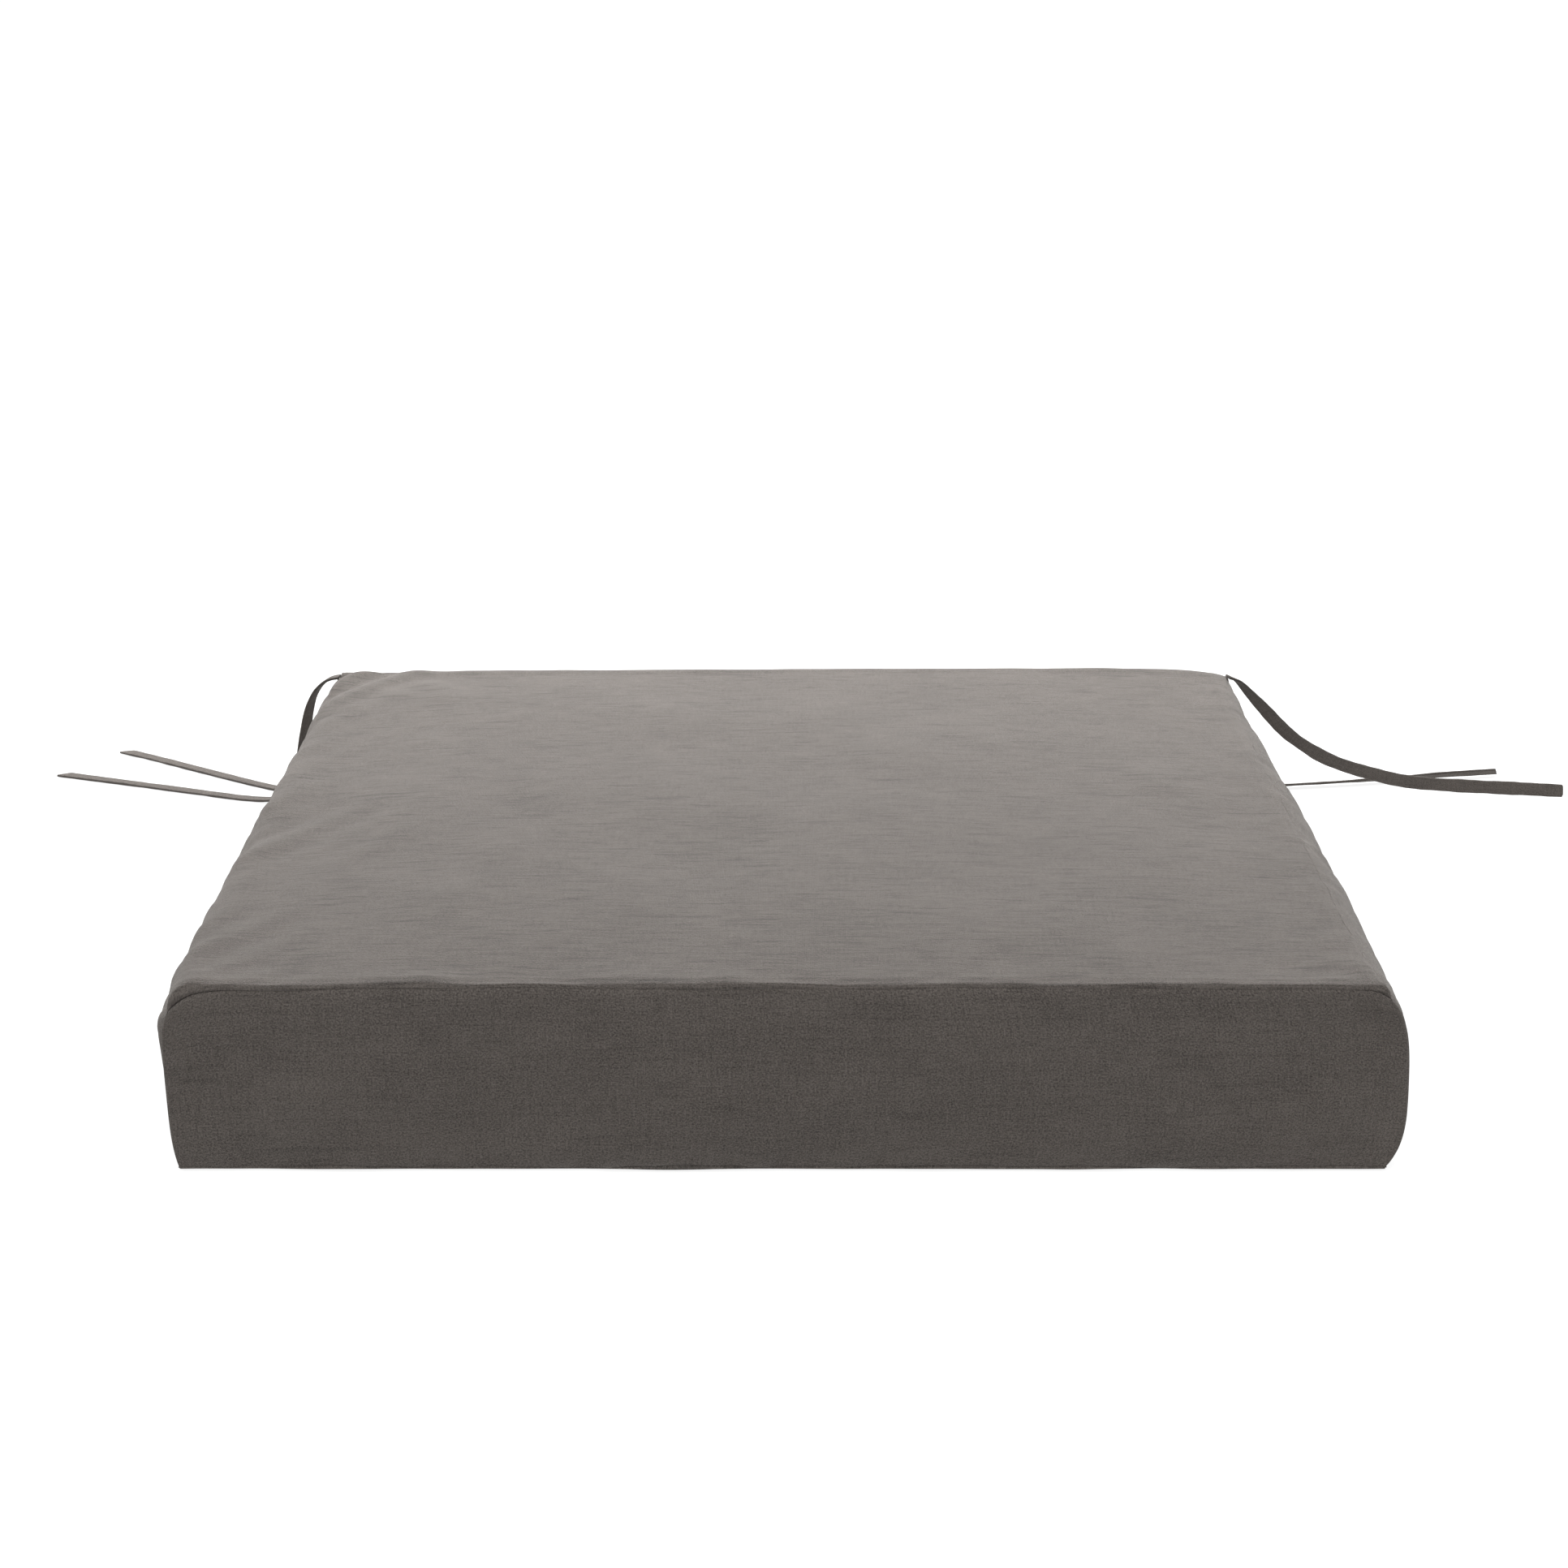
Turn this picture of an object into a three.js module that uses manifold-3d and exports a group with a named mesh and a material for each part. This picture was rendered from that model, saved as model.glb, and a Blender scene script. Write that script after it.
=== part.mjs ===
// A boxed chair seat pad: a foam slab between two fibre wraps, in a sewn cloth cover that
// closes with a zip along the back, and has a pair of ties at each rear corner.
// Millimetres, +Z up. The front faces -Y. The origin is the middle of the base.

import * as THREE from "three";
import { mergeVertices } from "three/addons/utils/BufferGeometryUtils.js";
import Module from "manifold-3d";

const wasm = await Module();
wasm.setup();

// Driving dimensions
const padWidth = 508; // across the side seams
const padDepth = 500; // front seam to rear seam
const seamHeight = 84; // of the top seam above the base
const crown = 5; // rise of the top panel's middle above its seam
const cornerBow = 8; // how far the corner seams bow sideways at mid-height
const sideBulge = 6; // how much further the middle of a side bulges
const frontBow = 1.5; // the same two for the front
const frontBulge = 2.5;
const cloth = 1.2; // thickness of the cover's cloth
const clearance = 0.3; // between pieces that touch
const seamGap = 0.25; // how far each panel stops short of its seam line

// Filling
const foamInset = 5; // foam slab inside the cover's seam lines
const foamRear = padDepth / 2 - 10; // the slab's rear face, clear of the zip
const wrapInset = 2.5; // outer face of the fibre wrap
const wrapRear = padDepth / 2 - 6.5; // outer face of the wrap behind the zip

// Zip
const zipHeight = seamHeight / 2;
const zipPlane = padDepth / 2 - 2.6; // middle of the tapes and teeth
const slotHalf = 5.5; // half of the opening between the two rear strips
const slotEnd = 222; // the opening is closed past this distance from the middle
const pitch = 3.3; // of the teeth in one row
const teeth = 118; // in each row
const toothWidth = 1.2;
const toothReach = 1.3; // past the centre line
const toothDepth = 2.2;
const spine = 1.6; // height of the strip that carries the teeth
const chainEnd = (teeth * pitch) / 2;
const tapeHalfLength = 212;
const tapeHeight = 13;
const tapeThickness = 0.6;

// Slider and pull tab
const sliderLength = 12;
const sliderHalfHeight = 4.5;
const plateThickness = 1.2;
const flangeThickness = 0.9;
const noseLength = 4; // the part of the slider that holds the wedge
const sliderMiddle = chainEnd + 0.7 + noseLength - sliderLength / 2;
const pullPivot = 1.3; // above the slider's outer plate
const archInner = 1.5;
const archOuter = 2.7;
const archWidth = 1.8;
const pullLength = 26;
const pullThickness = 1.2;

// Ties
const tieWidth = 8;
const tieThickness = 1.4;
const tieSteps = 44;

const clothMaterial = { color: 0x6e6862, roughness: 0.95, metalness: 0 };
const clothSideMaterial = { color: 0x645e59, roughness: 0.95, metalness: 0 };
const foamMaterial = { color: 0xe4d9b4, roughness: 0.9, metalness: 0 };
const fibreMaterial = { color: 0xf1f0ec, roughness: 1, metalness: 0 };
const threadMaterial = { color: 0x57524d, roughness: 0.7, metalness: 0 };
const tapeMaterial = { color: 0x4a4642, roughness: 0.9, metalness: 0 };
const toothMaterial = { color: 0x3d3a37, roughness: 0.45, metalness: 0 };
const metalMaterial = { color: 0x8d8a86, roughness: 0.35, metalness: 1 };
const tieMaterial = { color: 0x5f5954, roughness: 0.95, metalness: 0 };

const part = new THREE.Group();

function addMesh(name, geometry, material) {
  const mesh = new THREE.Mesh(geometry, new THREE.MeshStandardMaterial(material));
  mesh.name = name;
  part.add(mesh);
  return mesh;
}

// Booleans: a closed geometry as a solid, and a solid as a geometry.
function toSolid(geometry) {
  const bare = geometry.clone();
  bare.deleteAttribute("normal");
  bare.deleteAttribute("uv");
  const merged = mergeVertices(bare, 1e-4);
  return new wasm.Manifold(
    new wasm.Mesh({
      numProp: 3,
      vertProperties: merged.getAttribute("position").array,
      triVerts: new Uint32Array(merged.index.array),
    }),
  );
}

function toGeometry(solid) {
  const mesh = solid.getMesh();
  const geometry = new THREE.BufferGeometry();
  geometry.setAttribute("position", new THREE.BufferAttribute(mesh.vertProperties, mesh.numProp));
  geometry.setIndex(new THREE.BufferAttribute(mesh.triVerts, 1));
  geometry.computeVertexNormals();
  return geometry;
}

// A box whose unit corners (a, b, c), each 0 to 1, go where spot puts them. It stays closed.
function shapedBox(segmentsA, segmentsB, segmentsC, spot) {
  const box = new THREE.BoxGeometry(1, 1, 1, segmentsA, segmentsB, segmentsC);
  box.translate(0.5, 0.5, 0.5);
  const position = box.getAttribute("position");
  for (let i = 0; i < position.count; i += 1) {
    position.setXYZ(i, ...spot(position.getX(i), position.getY(i), position.getZ(i)));
  }
  box.computeVertexNormals();
  return box;
}

// The pad's form. u runs from -1 at the left to 1, v from -1 at the front to 1, and t from 0 at
// the base to 1 at the top seam. Inset is the distance inside the cover's outer face, and the
// bulges die away towards the foam slab, which is cut straight.
const levelled = (s) => 1 - s ** 4;
const barrel = (t) => 4 * t * (1 - t);

function padPoint(u, v, t, inset) {
  const plump = Math.max(0, 1 - inset / foamInset);
  const side = plump * barrel(t) * (cornerBow + sideBulge * levelled(v));
  const front = v < 0 ? plump * barrel(t) * (frontBow + frontBulge * levelled(u)) : 0;
  const rise = plump * crown * t * levelled(u) * levelled(v);
  return [
    u * (padWidth / 2 - inset + side),
    v * (padDepth / 2 - inset + front),
    inset + t * (seamHeight - 2 * inset) + rise,
  ];
}

// A value s from 0 to 1 as -1 to 1, stopped short of both ends by the seam gap.
const acrossWidth = (s) => (2 * s - 1) * (1 - (2 * seamGap) / padWidth);
const acrossDepth = (s) => (2 * s - 1) * (1 - (2 * seamGap) / padDepth);
const upHeight = (s) => 0.5 + (s - 0.5) * (1 - (2 * seamGap) / seamHeight);

function addCoverPanels() {
  addMesh(
    "top_panel",
    shapedBox(16, 16, 1, (a, b, c) => padPoint(acrossWidth(a), acrossDepth(b), 1, cloth * (1 - c))),
    clothMaterial,
  );
  addMesh(
    "bottom_panel",
    shapedBox(2, 2, 1, (a, b, c) => padPoint(acrossWidth(a), acrossDepth(b), 0, cloth * c)),
    clothSideMaterial,
  );
  addMesh(
    "front_boxing",
    shapedBox(12, 6, 1, (a, b, c) => padPoint(acrossWidth(a), -1, upHeight(b), cloth * (1 - c))),
    clothSideMaterial,
  );
  addMesh(
    "right_boxing",
    shapedBox(12, 6, 1, (a, b, c) => padPoint(1, acrossDepth(a), upHeight(b), cloth * (1 - c))),
    clothSideMaterial,
  );
  addMesh(
    "left_boxing",
    shapedBox(12, 6, 1, (a, b, c) => padPoint(-1, acrossDepth(1 - a), upHeight(b), cloth * (1 - c))),
    clothSideMaterial,
  );
}

// The rear boxing is two strips. Each is folded back along the zip, and they meet past its ends.
function addRearStrips() {
  const strip = (upper) => (a, b, c) => {
    const u = acrossWidth(1 - a);
    const open = Math.abs(u * padWidth) / 2 < slotEnd ? slotHalf : seamGap;
    const fold = 0.5 + ((upper ? 1 : -1) * open) / seamHeight;
    const t = upper ? fold + b * (upHeight(1) - fold) : upHeight(0) + b * (fold - upHeight(0));
    return padPoint(u, 1, t, cloth * (1 - c));
  };
  addMesh("rear_boxing_upper", shapedBox(24, 3, 1, strip(true)), clothSideMaterial);
  addMesh("rear_boxing_lower", shapedBox(24, 3, 1, strip(false)), clothSideMaterial);
}

// A straight-sided block of filling between two heights, held clear of the zip at the rear.
function fillingBlock(inset, rear, low, high, segments) {
  return shapedBox(segments, segments, 4, (a, b, c) => {
    const [x, y, z] = padPoint(2 * a - 1, 2 * b - 1, low + c * (high - low), inset);
    return [x, Math.min(y, rear), z];
  });
}

function addFilling() {
  addMesh("foam_core", fillingBlock(foamInset, foamRear, 0, 1, 1), foamMaterial);
  const inside = foamInset - clearance;
  const hollow = toSolid(fillingBlock(inside, foamRear + clearance, 0, 1, 1));
  const middleGap = clearance / seamHeight;
  const upper = toSolid(fillingBlock(wrapInset, wrapRear, 0.5 + middleGap, 1, 10));
  const lower = toSolid(fillingBlock(wrapInset, wrapRear, 0, 0.5 - middleGap, 10));
  addMesh("fibre_wrap_upper", toGeometry(upper.subtract(hollow)), fibreMaterial);
  addMesh("fibre_wrap_lower", toGeometry(lower.subtract(hollow)), fibreMaterial);
}

// Rows of lockstitch just inside the seam lines: a flat ring at the top and at the base, and a
// line up each corner.
function addSeamThreads() {
  const threadSize = 0.6;
  const threadInset = cloth + clearance + 0.1;
  const ring = () => {
    const halfX = padWidth / 2 - threadInset;
    const halfY = padDepth / 2 - threadInset;
    const rectangle = (path, x, y) =>
      path.moveTo(-x, -y).lineTo(x, -y).lineTo(x, y).lineTo(-x, y).closePath();
    const outline = rectangle(new THREE.Shape(), halfX, halfY);
    outline.holes.push(rectangle(new THREE.Path(), halfX - threadSize, halfY - threadSize));
    return new THREE.ExtrudeGeometry(outline, { depth: threadSize, bevelEnabled: false });
  };
  const bottomThread = addMesh("bottom_seam_thread", ring(), threadMaterial);
  bottomThread.position.z = threadInset;
  const topThread = addMesh("top_seam_thread", ring(), threadMaterial);
  topThread.position.z = seamHeight - threadInset - threadSize;

  const ends = 4 * threadInset; // the corner lines stop short of the rings
  const corners = { front_left: [-1, -1], front_right: [1, -1], rear_left: [-1, 1], rear_right: [1, 1] };
  for (const [name, [sideways, along]] of Object.entries(corners)) {
    const line = shapedBox(1, 8, 1, (a, b, c) => {
      const t = (ends + b * (seamHeight - 2 * ends)) / seamHeight;
      const [x, y, z] = padPoint(sideways, along, t, threadInset);
      const back = along > 0 ? 1 : 0;
      return [x - (sideways > 0 ? 1 - a : -a) * threadSize, y + (1 - c - back) * threadSize, z];
    });
    addMesh("corner_seam_thread_" + name, line, threadMaterial);
  }
}

// An outline drawn in (x, height) and extruded through the zip's thickness, facing the rear.
// Upside down gives the row below the centre line.
function onZipPlane(outline, thickness, upsideDown = false) {
  const geometry = new THREE.ExtrudeGeometry(outline, { depth: thickness, bevelEnabled: false });
  geometry.translate(0, 0, -thickness / 2);
  geometry.rotateX(upsideDown ? -Math.PI / 2 : Math.PI / 2);
  return geometry;
}

function toothRow(shift) {
  const outline = new THREE.Shape();
  const inner = toothReach + clearance;
  outline.moveTo(-chainEnd, inner + spine);
  outline.lineTo(-chainEnd, inner);
  for (let i = 0; i < teeth; i += 1) {
    const left = -chainEnd + i * pitch + shift;
    outline.lineTo(left, inner);
    outline.lineTo(left, -toothReach);
    outline.lineTo(left + toothWidth, -toothReach);
    outline.lineTo(left + toothWidth, inner);
  }
  outline.lineTo(chainEnd, inner);
  outline.lineTo(chainEnd, inner + spine);
  return outline;
}

function rectangleFrom(x0, x1, h0, h1) {
  return new THREE.Shape().moveTo(x0, h0).lineTo(x1, h0).lineTo(x1, h1).lineTo(x0, h1).closePath();
}

function addZipChain() {
  const margin = (pitch / 2 - toothWidth) / 2;
  const rowEdge = toothReach + clearance + spine;
  const tapeFoot = rowEdge + clearance;
  const tape = rectangleFrom(-tapeHalfLength, tapeHalfLength, tapeFoot, tapeFoot + tapeHeight);
  const topStop = rectangleFrom(0, 2, 1.2, rowEdge);
  const stopStart = sliderMiddle + sliderLength / 2 + 2 * clearance;
  for (const [row, upsideDown] of [["upper", false], ["lower", true]]) {
    const shift = upsideDown ? margin + pitch / 2 : margin;
    const parts = [
      ["zip_teeth_" + row, onZipPlane(toothRow(shift), toothDepth, upsideDown), toothMaterial],
      ["zip_tape_" + row, onZipPlane(tape, tapeThickness, upsideDown), tapeMaterial],
      ["zip_top_stop_" + row, onZipPlane(topStop, toothDepth, upsideDown), metalMaterial],
    ];
    for (const [name, geometry, material] of parts) {
      const mesh = addMesh(name, geometry, material);
      mesh.position.set(name.includes("stop") ? stopStart : 0, zipPlane, zipHeight);
    }
  }
  const stopLength = 4.3;
  const bottomStop = rectangleFrom(0, stopLength, -rowEdge, rowEdge);
  const stop = addMesh("zip_bottom_stop", onZipPlane(bottomStop, 2.6), metalMaterial);
  stop.position.set(-chainEnd - clearance - stopLength, zipPlane, zipHeight);
}

// The rows of stitching that hold the rear strips to the zip tapes.
function addZipStitching() {
  const height = 0.6;
  const offset = slotHalf + 4;
  for (const [row, side] of [["upper", 1], ["lower", -1]]) {
    const line = new THREE.BoxGeometry(2 * tapeHalfLength - 8, 0.4, height);
    const mesh = addMesh("zip_stitching_" + row, line, threadMaterial);
    mesh.position.set(0, padDepth / 2 + clearance + 0.2, zipHeight + side * offset);
  }
}

// The slider: two plates joined by a wedge at the nose, with flanges that hold the two rows of
// teeth, and an arch on the outside for the pull tab. Local x is along the zip, nose at +x, and
// local y points out of the pad.
function sliderGeometry() {
  const half = sliderLength / 2;
  const inside = toothDepth / 2 + clearance; // plate faces, from the zip plane
  const outline = new THREE.Shape();
  outline.moveTo(-half, -sliderHalfHeight + 1);
  outline.quadraticCurveTo(-half, -sliderHalfHeight, -half + 1, -sliderHalfHeight);
  outline.lineTo(half - 2, -sliderHalfHeight - 0.3);
  outline.quadraticCurveTo(half, -sliderHalfHeight, half, 0);
  outline.quadraticCurveTo(half, sliderHalfHeight, half - 2, sliderHalfHeight + 0.3);
  outline.lineTo(-half + 1, sliderHalfHeight);
  outline.quadraticCurveTo(-half, sliderHalfHeight, -half, sliderHalfHeight - 1);
  outline.closePath();
  const plate = { depth: plateThickness, bevelEnabled: false, curveSegments: 5 };
  const outer = new THREE.ExtrudeGeometry(outline, plate).rotateX(Math.PI / 2);
  outer.translate(0, inside + plateThickness, 0);
  const inner = outer.clone().translate(0, -2 * inside - plateThickness, 0);
  let solid = toSolid(outer).add(toSolid(inner));

  const slot = tapeThickness / 2 + clearance;
  const flange = new THREE.BoxGeometry(9, inside - slot + 0.1, flangeThickness);
  for (const side of [1, -1]) {
    for (const face of [1, -1]) {
      const bar = flange.clone();
      bar.translate(4.5 - half, (face * (inside + slot + 0.1)) / 2, side * (sliderHalfHeight - 0.45));
      solid = solid.add(toSolid(bar));
    }
  }

  const wedge = new THREE.Shape();
  wedge.moveTo(half - noseLength, 0);
  wedge.lineTo(half - 1.5, -1.9);
  wedge.quadraticCurveTo(half - 0.4, -1.4, half - 0.4, 0);
  wedge.quadraticCurveTo(half - 0.4, 1.4, half - 1.5, 1.9);
  wedge.closePath();
  const post = new THREE.ExtrudeGeometry(wedge, {
    depth: 2 * inside + 0.4,
    bevelEnabled: false,
    curveSegments: 4,
  });
  post.rotateX(Math.PI / 2).translate(0, inside + 0.2, 0);
  solid = solid.add(toSolid(post));

  const foot = -pullPivot - 0.2;
  const arch = new THREE.Shape();
  arch.moveTo(archOuter, foot);
  arch.absarc(0, 0, archOuter, 0, Math.PI, false);
  arch.lineTo(-archOuter, foot);
  arch.lineTo(-archInner, foot);
  arch.absarc(0, 0, archInner, Math.PI, 0, true);
  arch.lineTo(archInner, foot);
  arch.closePath();
  const bridge = new THREE.ExtrudeGeometry(arch, {
    depth: archWidth,
    bevelEnabled: false,
    curveSegments: 12,
  });
  bridge.translate(0, inside + plateThickness + pullPivot, -archWidth / 2);
  return toGeometry(solid.add(toSolid(bridge)));
}

// The pull tab lies along -x from its pivot. Its end bar passes under the slider's arch, which
// stands in the window behind the bar.
function pullGeometry() {
  const bar = 0.65;
  const neck = 2.7;
  const wide = 3.5;
  const tab = new THREE.Shape();
  tab.moveTo(bar, -neck);
  tab.lineTo(bar, neck);
  tab.lineTo(-6, neck);
  tab.quadraticCurveTo(-9, neck, -10, wide);
  tab.lineTo(-pullLength + wide, wide);
  tab.absarc(-pullLength + wide, 0, wide, Math.PI / 2, (3 * Math.PI) / 2, false);
  tab.lineTo(-10, -wide);
  tab.quadraticCurveTo(-9, -neck, -6, -neck);
  tab.closePath();
  const window = new THREE.Path();
  const windowHalf = archWidth / 2 + 0.4;
  const windowEnd = archOuter + 0.6;
  window.moveTo(-archInner + clearance, -windowHalf);
  window.lineTo(-windowEnd, -windowHalf);
  window.lineTo(-windowEnd, windowHalf);
  window.lineTo(-archInner + clearance, windowHalf);
  window.closePath();
  const eye = new THREE.Path();
  eye.absarc(-pullLength + wide + 0.6, 0, 1.6, 0, 2 * Math.PI, false);
  tab.holes.push(window, eye);
  const geometry = new THREE.ExtrudeGeometry(tab, {
    depth: pullThickness,
    bevelEnabled: false,
    curveSegments: 8,
  });
  geometry.translate(0, 0, -pullThickness / 2);
  return geometry.rotateX(Math.PI / 2);
}

function addSlider() {
  const slider = addMesh("zip_slider", sliderGeometry(), metalMaterial);
  slider.position.set(sliderMiddle, zipPlane, zipHeight);
  const pull = addMesh("zip_pull_tab", pullGeometry(), metalMaterial);
  const outerFace = zipPlane + toothDepth / 2 + clearance + plateThickness;
  pull.position.set(sliderMiddle, outerFace + pullPivot, zipHeight);
}

// Each tie's route: x, y, z, and the lean of its flat face in degrees, 0 lying flat and 90
// standing on its edge with its face to the front.
const tieRoutes = {
  tie_left_outer: [
    [-257.3, 249, 83.4, 0],
    [-260.3, 249.6, 81.8, 0],
    [-264, 250.6, 79, 0],
    [-268, 251.9, 74, 0],
    [-271.3, 253.3, 67, 0],
    [-274.3, 255.6, 56, 0],
    [-277.2, 258.6, 42, 0],
    [-280.5, 262, 27, 0],
    [-285.5, 266, 13, 0],
    [-293, 271, 4.2, 0],
    [-304, 275.6, 1.4, 0],
    [-318.5, 279.8, 1, 0],
    [-334, 286, 1, 0],
    [-365, 299, 1, 0],
    [-397, 312.2, 1, 0],
    [-434, 327.3, 1, 0],
  ],
  tie_left_inner: [
    [-250, 251.8, 82, 0],
    [-249.8, 255, 83.4, 0],
    [-249.8, 259.5, 83.2, 0],
    [-250.3, 264, 79.6, 0],
    [-251.5, 268.5, 71, 0],
    [-254, 273, 58, 0],
    [-258.5, 278, 40, 0],
    [-265, 283, 22, 0],
    [-274, 287.5, 8.5, 0],
    [-286, 292, 2.2, 0],
    [-299, 297.8, 1, 0],
    [-316, 308.8, 1, 0],
    [-349.5, 334, 1, 0],
    [-384, 360.3, 1, 0],
    [-406, 376, 1, 0],
  ],
  tie_right_outer: [
    [257.4, 249.4, 82.4, 0],
    [260.6, 250.8, 79.4, 10],
    [268.6, 254, 70.1, 28],
    [276.6, 258, 61.3, 44],
    [284.4, 262, 52.3, 58],
    [293.2, 266, 43.4, 68],
    [305, 270, 34.4, 75],
    [317, 273.8, 26.8, 79],
    [330, 277, 21, 82],
    [345, 281.2, 15.6, 86],
    [360.5, 285.2, 10.6, 92],
    [375.5, 287.8, 7.7, 98],
    [390, 288.8, 6.3, 103],
    [411.5, 288.4, 5.2, 109],
    [433, 286.8, 4.7, 115],
    [459, 284, 4.1, 121],
  ],
  tie_right_inner: [
    [250.3, 251.8, 81, 0],
    [250.6, 255, 82, 0],
    [251.3, 259.5, 81.2, 0],
    [252.8, 264.5, 76, 0],
    [255.3, 270, 65, 0],
    [259, 276, 48, 0],
    [264, 282.5, 30, 0],
    [271, 289.5, 14.5, 0],
    [281, 296, 5, 6],
    [294, 300.6, 2.6, 14],
    [307, 303, 2.4, 18],
    [336, 307.8, 2.6, 22],
    [359, 312.4, 2.9, 27],
    [404, 321.4, 3.3, 37],
    [429, 326, 3.4, 40],
  ],
};

function tieGeometry(route) {
  const points = route.map(([x, y, z]) => new THREE.Vector3(x, y, z));
  const curve = new THREE.CatmullRomCurve3(points, false, "centripetal");
  const up = new THREE.Vector3(0, 0, 1);
  const leanAt = (s) => {
    const place = curve.getUtoTmapping(s) * (route.length - 1);
    const before = Math.min(Math.floor(place), route.length - 2);
    return THREE.MathUtils.degToRad(
      THREE.MathUtils.lerp(route[before][3], route[before + 1][3], place - before),
    );
  };
  return shapedBox(tieSteps, 1, 1, (a, b, c) => {
    const along = curve.getTangentAt(a);
    const across = new THREE.Vector3().crossVectors(up, along).normalize();
    across.applyAxisAngle(along, -leanAt(a) * Math.sign(along.x));
    const outward = new THREE.Vector3().crossVectors(along, across);
    return curve
      .getPointAt(a)
      .addScaledVector(across, (b - 0.5) * tieWidth)
      .addScaledVector(outward, (c - 0.5) * tieThickness)
      .toArray();
  });
}

function addTies() {
  for (const [name, route] of Object.entries(tieRoutes)) {
    addMesh(name, tieGeometry(route), tieMaterial);
  }
}

addFilling();
addCoverPanels();
addRearStrips();
addSeamThreads();
addZipChain();
addZipStitching();
addSlider();
addTies();

export default part;
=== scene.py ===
import math

import bmesh
import bpy
import numpy as np
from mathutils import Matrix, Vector


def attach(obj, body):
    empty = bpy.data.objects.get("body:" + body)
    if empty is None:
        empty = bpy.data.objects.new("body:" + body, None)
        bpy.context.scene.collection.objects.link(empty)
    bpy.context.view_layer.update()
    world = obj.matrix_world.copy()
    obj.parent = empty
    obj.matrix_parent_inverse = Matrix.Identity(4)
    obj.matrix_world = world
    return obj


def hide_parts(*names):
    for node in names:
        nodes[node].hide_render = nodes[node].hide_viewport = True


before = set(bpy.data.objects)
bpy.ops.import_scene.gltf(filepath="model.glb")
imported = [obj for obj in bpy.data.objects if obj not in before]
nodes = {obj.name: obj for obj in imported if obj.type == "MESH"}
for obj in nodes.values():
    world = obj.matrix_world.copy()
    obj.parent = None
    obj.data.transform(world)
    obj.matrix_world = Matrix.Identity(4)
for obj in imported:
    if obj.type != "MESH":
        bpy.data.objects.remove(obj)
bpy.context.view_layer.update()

scene = bpy.context.scene
MM = 0.001


# ------ camera

CAMERA_PLACE = (0.0, -1.4525, 0.5399)
CAMERA_PITCH = 17.02  # degrees below level

camera_data = bpy.data.cameras.new("camera")
camera_data.sensor_width = 36.0
camera_data.lens = 70.81
camera_data.clip_end = 500.0
camera = bpy.data.objects.new("camera", camera_data)
camera.location = CAMERA_PLACE
camera.rotation_euler = (math.radians(90.0 - CAMERA_PITCH), 0.0, 0.0)
scene.collection.objects.link(camera)
scene.camera = camera


# ------ helpers

def new_object(name, mesh):
    """An object that rides on the pad."""
    obj = bpy.data.objects.new(name, mesh)
    scene.collection.objects.link(obj)
    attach(obj, "pad")
    return obj


def mesh_from(name, verts, faces, uvs=None):
    """verts in millimetres; uvs, one per vertex, in millimetres of cloth."""
    mesh = bpy.data.meshes.new(name)
    mesh.from_pydata([tuple(float(c) * MM for c in v) for v in verts], [], faces)
    if uvs is not None:
        layer = mesh.uv_layers.new(name="cloth")
        index = np.empty(len(mesh.loops), dtype=np.int32)
        mesh.loops.foreach_get("vertex_index", index)
        layer.data.foreach_set("uv", (np.asarray(uvs, float)[index] * MM).ravel())
    mesh.polygons.foreach_set("use_smooth", [True] * len(mesh.polygons))
    mesh.update()
    return mesh


def grid_faces(rows, cols, flip=False):
    faces = []
    for i in range(rows - 1):
        for j in range(cols - 1):
            a = i * cols + j
            quad = (a, a + 1, a + cols + 1, a + cols)
            faces.append(quad[::-1] if flip else quad)
    return faces


def bell(reach):
    """Weights for averaging over reach samples on either side."""
    weights = np.exp(-np.linspace(-2.0, 2.0, 2 * reach + 1) ** 2)
    return weights / weights.sum()


def smoothstep(x):
    x = np.clip(x, 0.0, 1.0)
    return x * x * (3.0 - 2.0 * x)


class Ripple:
    """Smooth seeded noise over a plane, as a sum of a few dozen waves."""

    def __init__(self, seed, wavelength, spread=0.5, count=28, stretch=(1.0, 1.0)):
        rng = np.random.default_rng(seed)
        angle = rng.uniform(0.0, 2.0 * math.pi, count)
        size = wavelength * np.exp(rng.normal(0.0, spread, count))
        self.kx = 2.0 * math.pi * np.cos(angle) / size / stretch[0]
        self.ky = 2.0 * math.pi * np.sin(angle) / size / stretch[1]
        self.phase = rng.uniform(0.0, 2.0 * math.pi, count)
        self.scale = 1.0 / math.sqrt(count / 2.0)

    def __call__(self, x, y):
        x = np.asarray(x, float)[..., None]
        y = np.asarray(y, float)[..., None]
        return np.sum(np.sin(self.kx * x + self.ky * y + self.phase), axis=-1) * self.scale


# ------ materials

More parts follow.
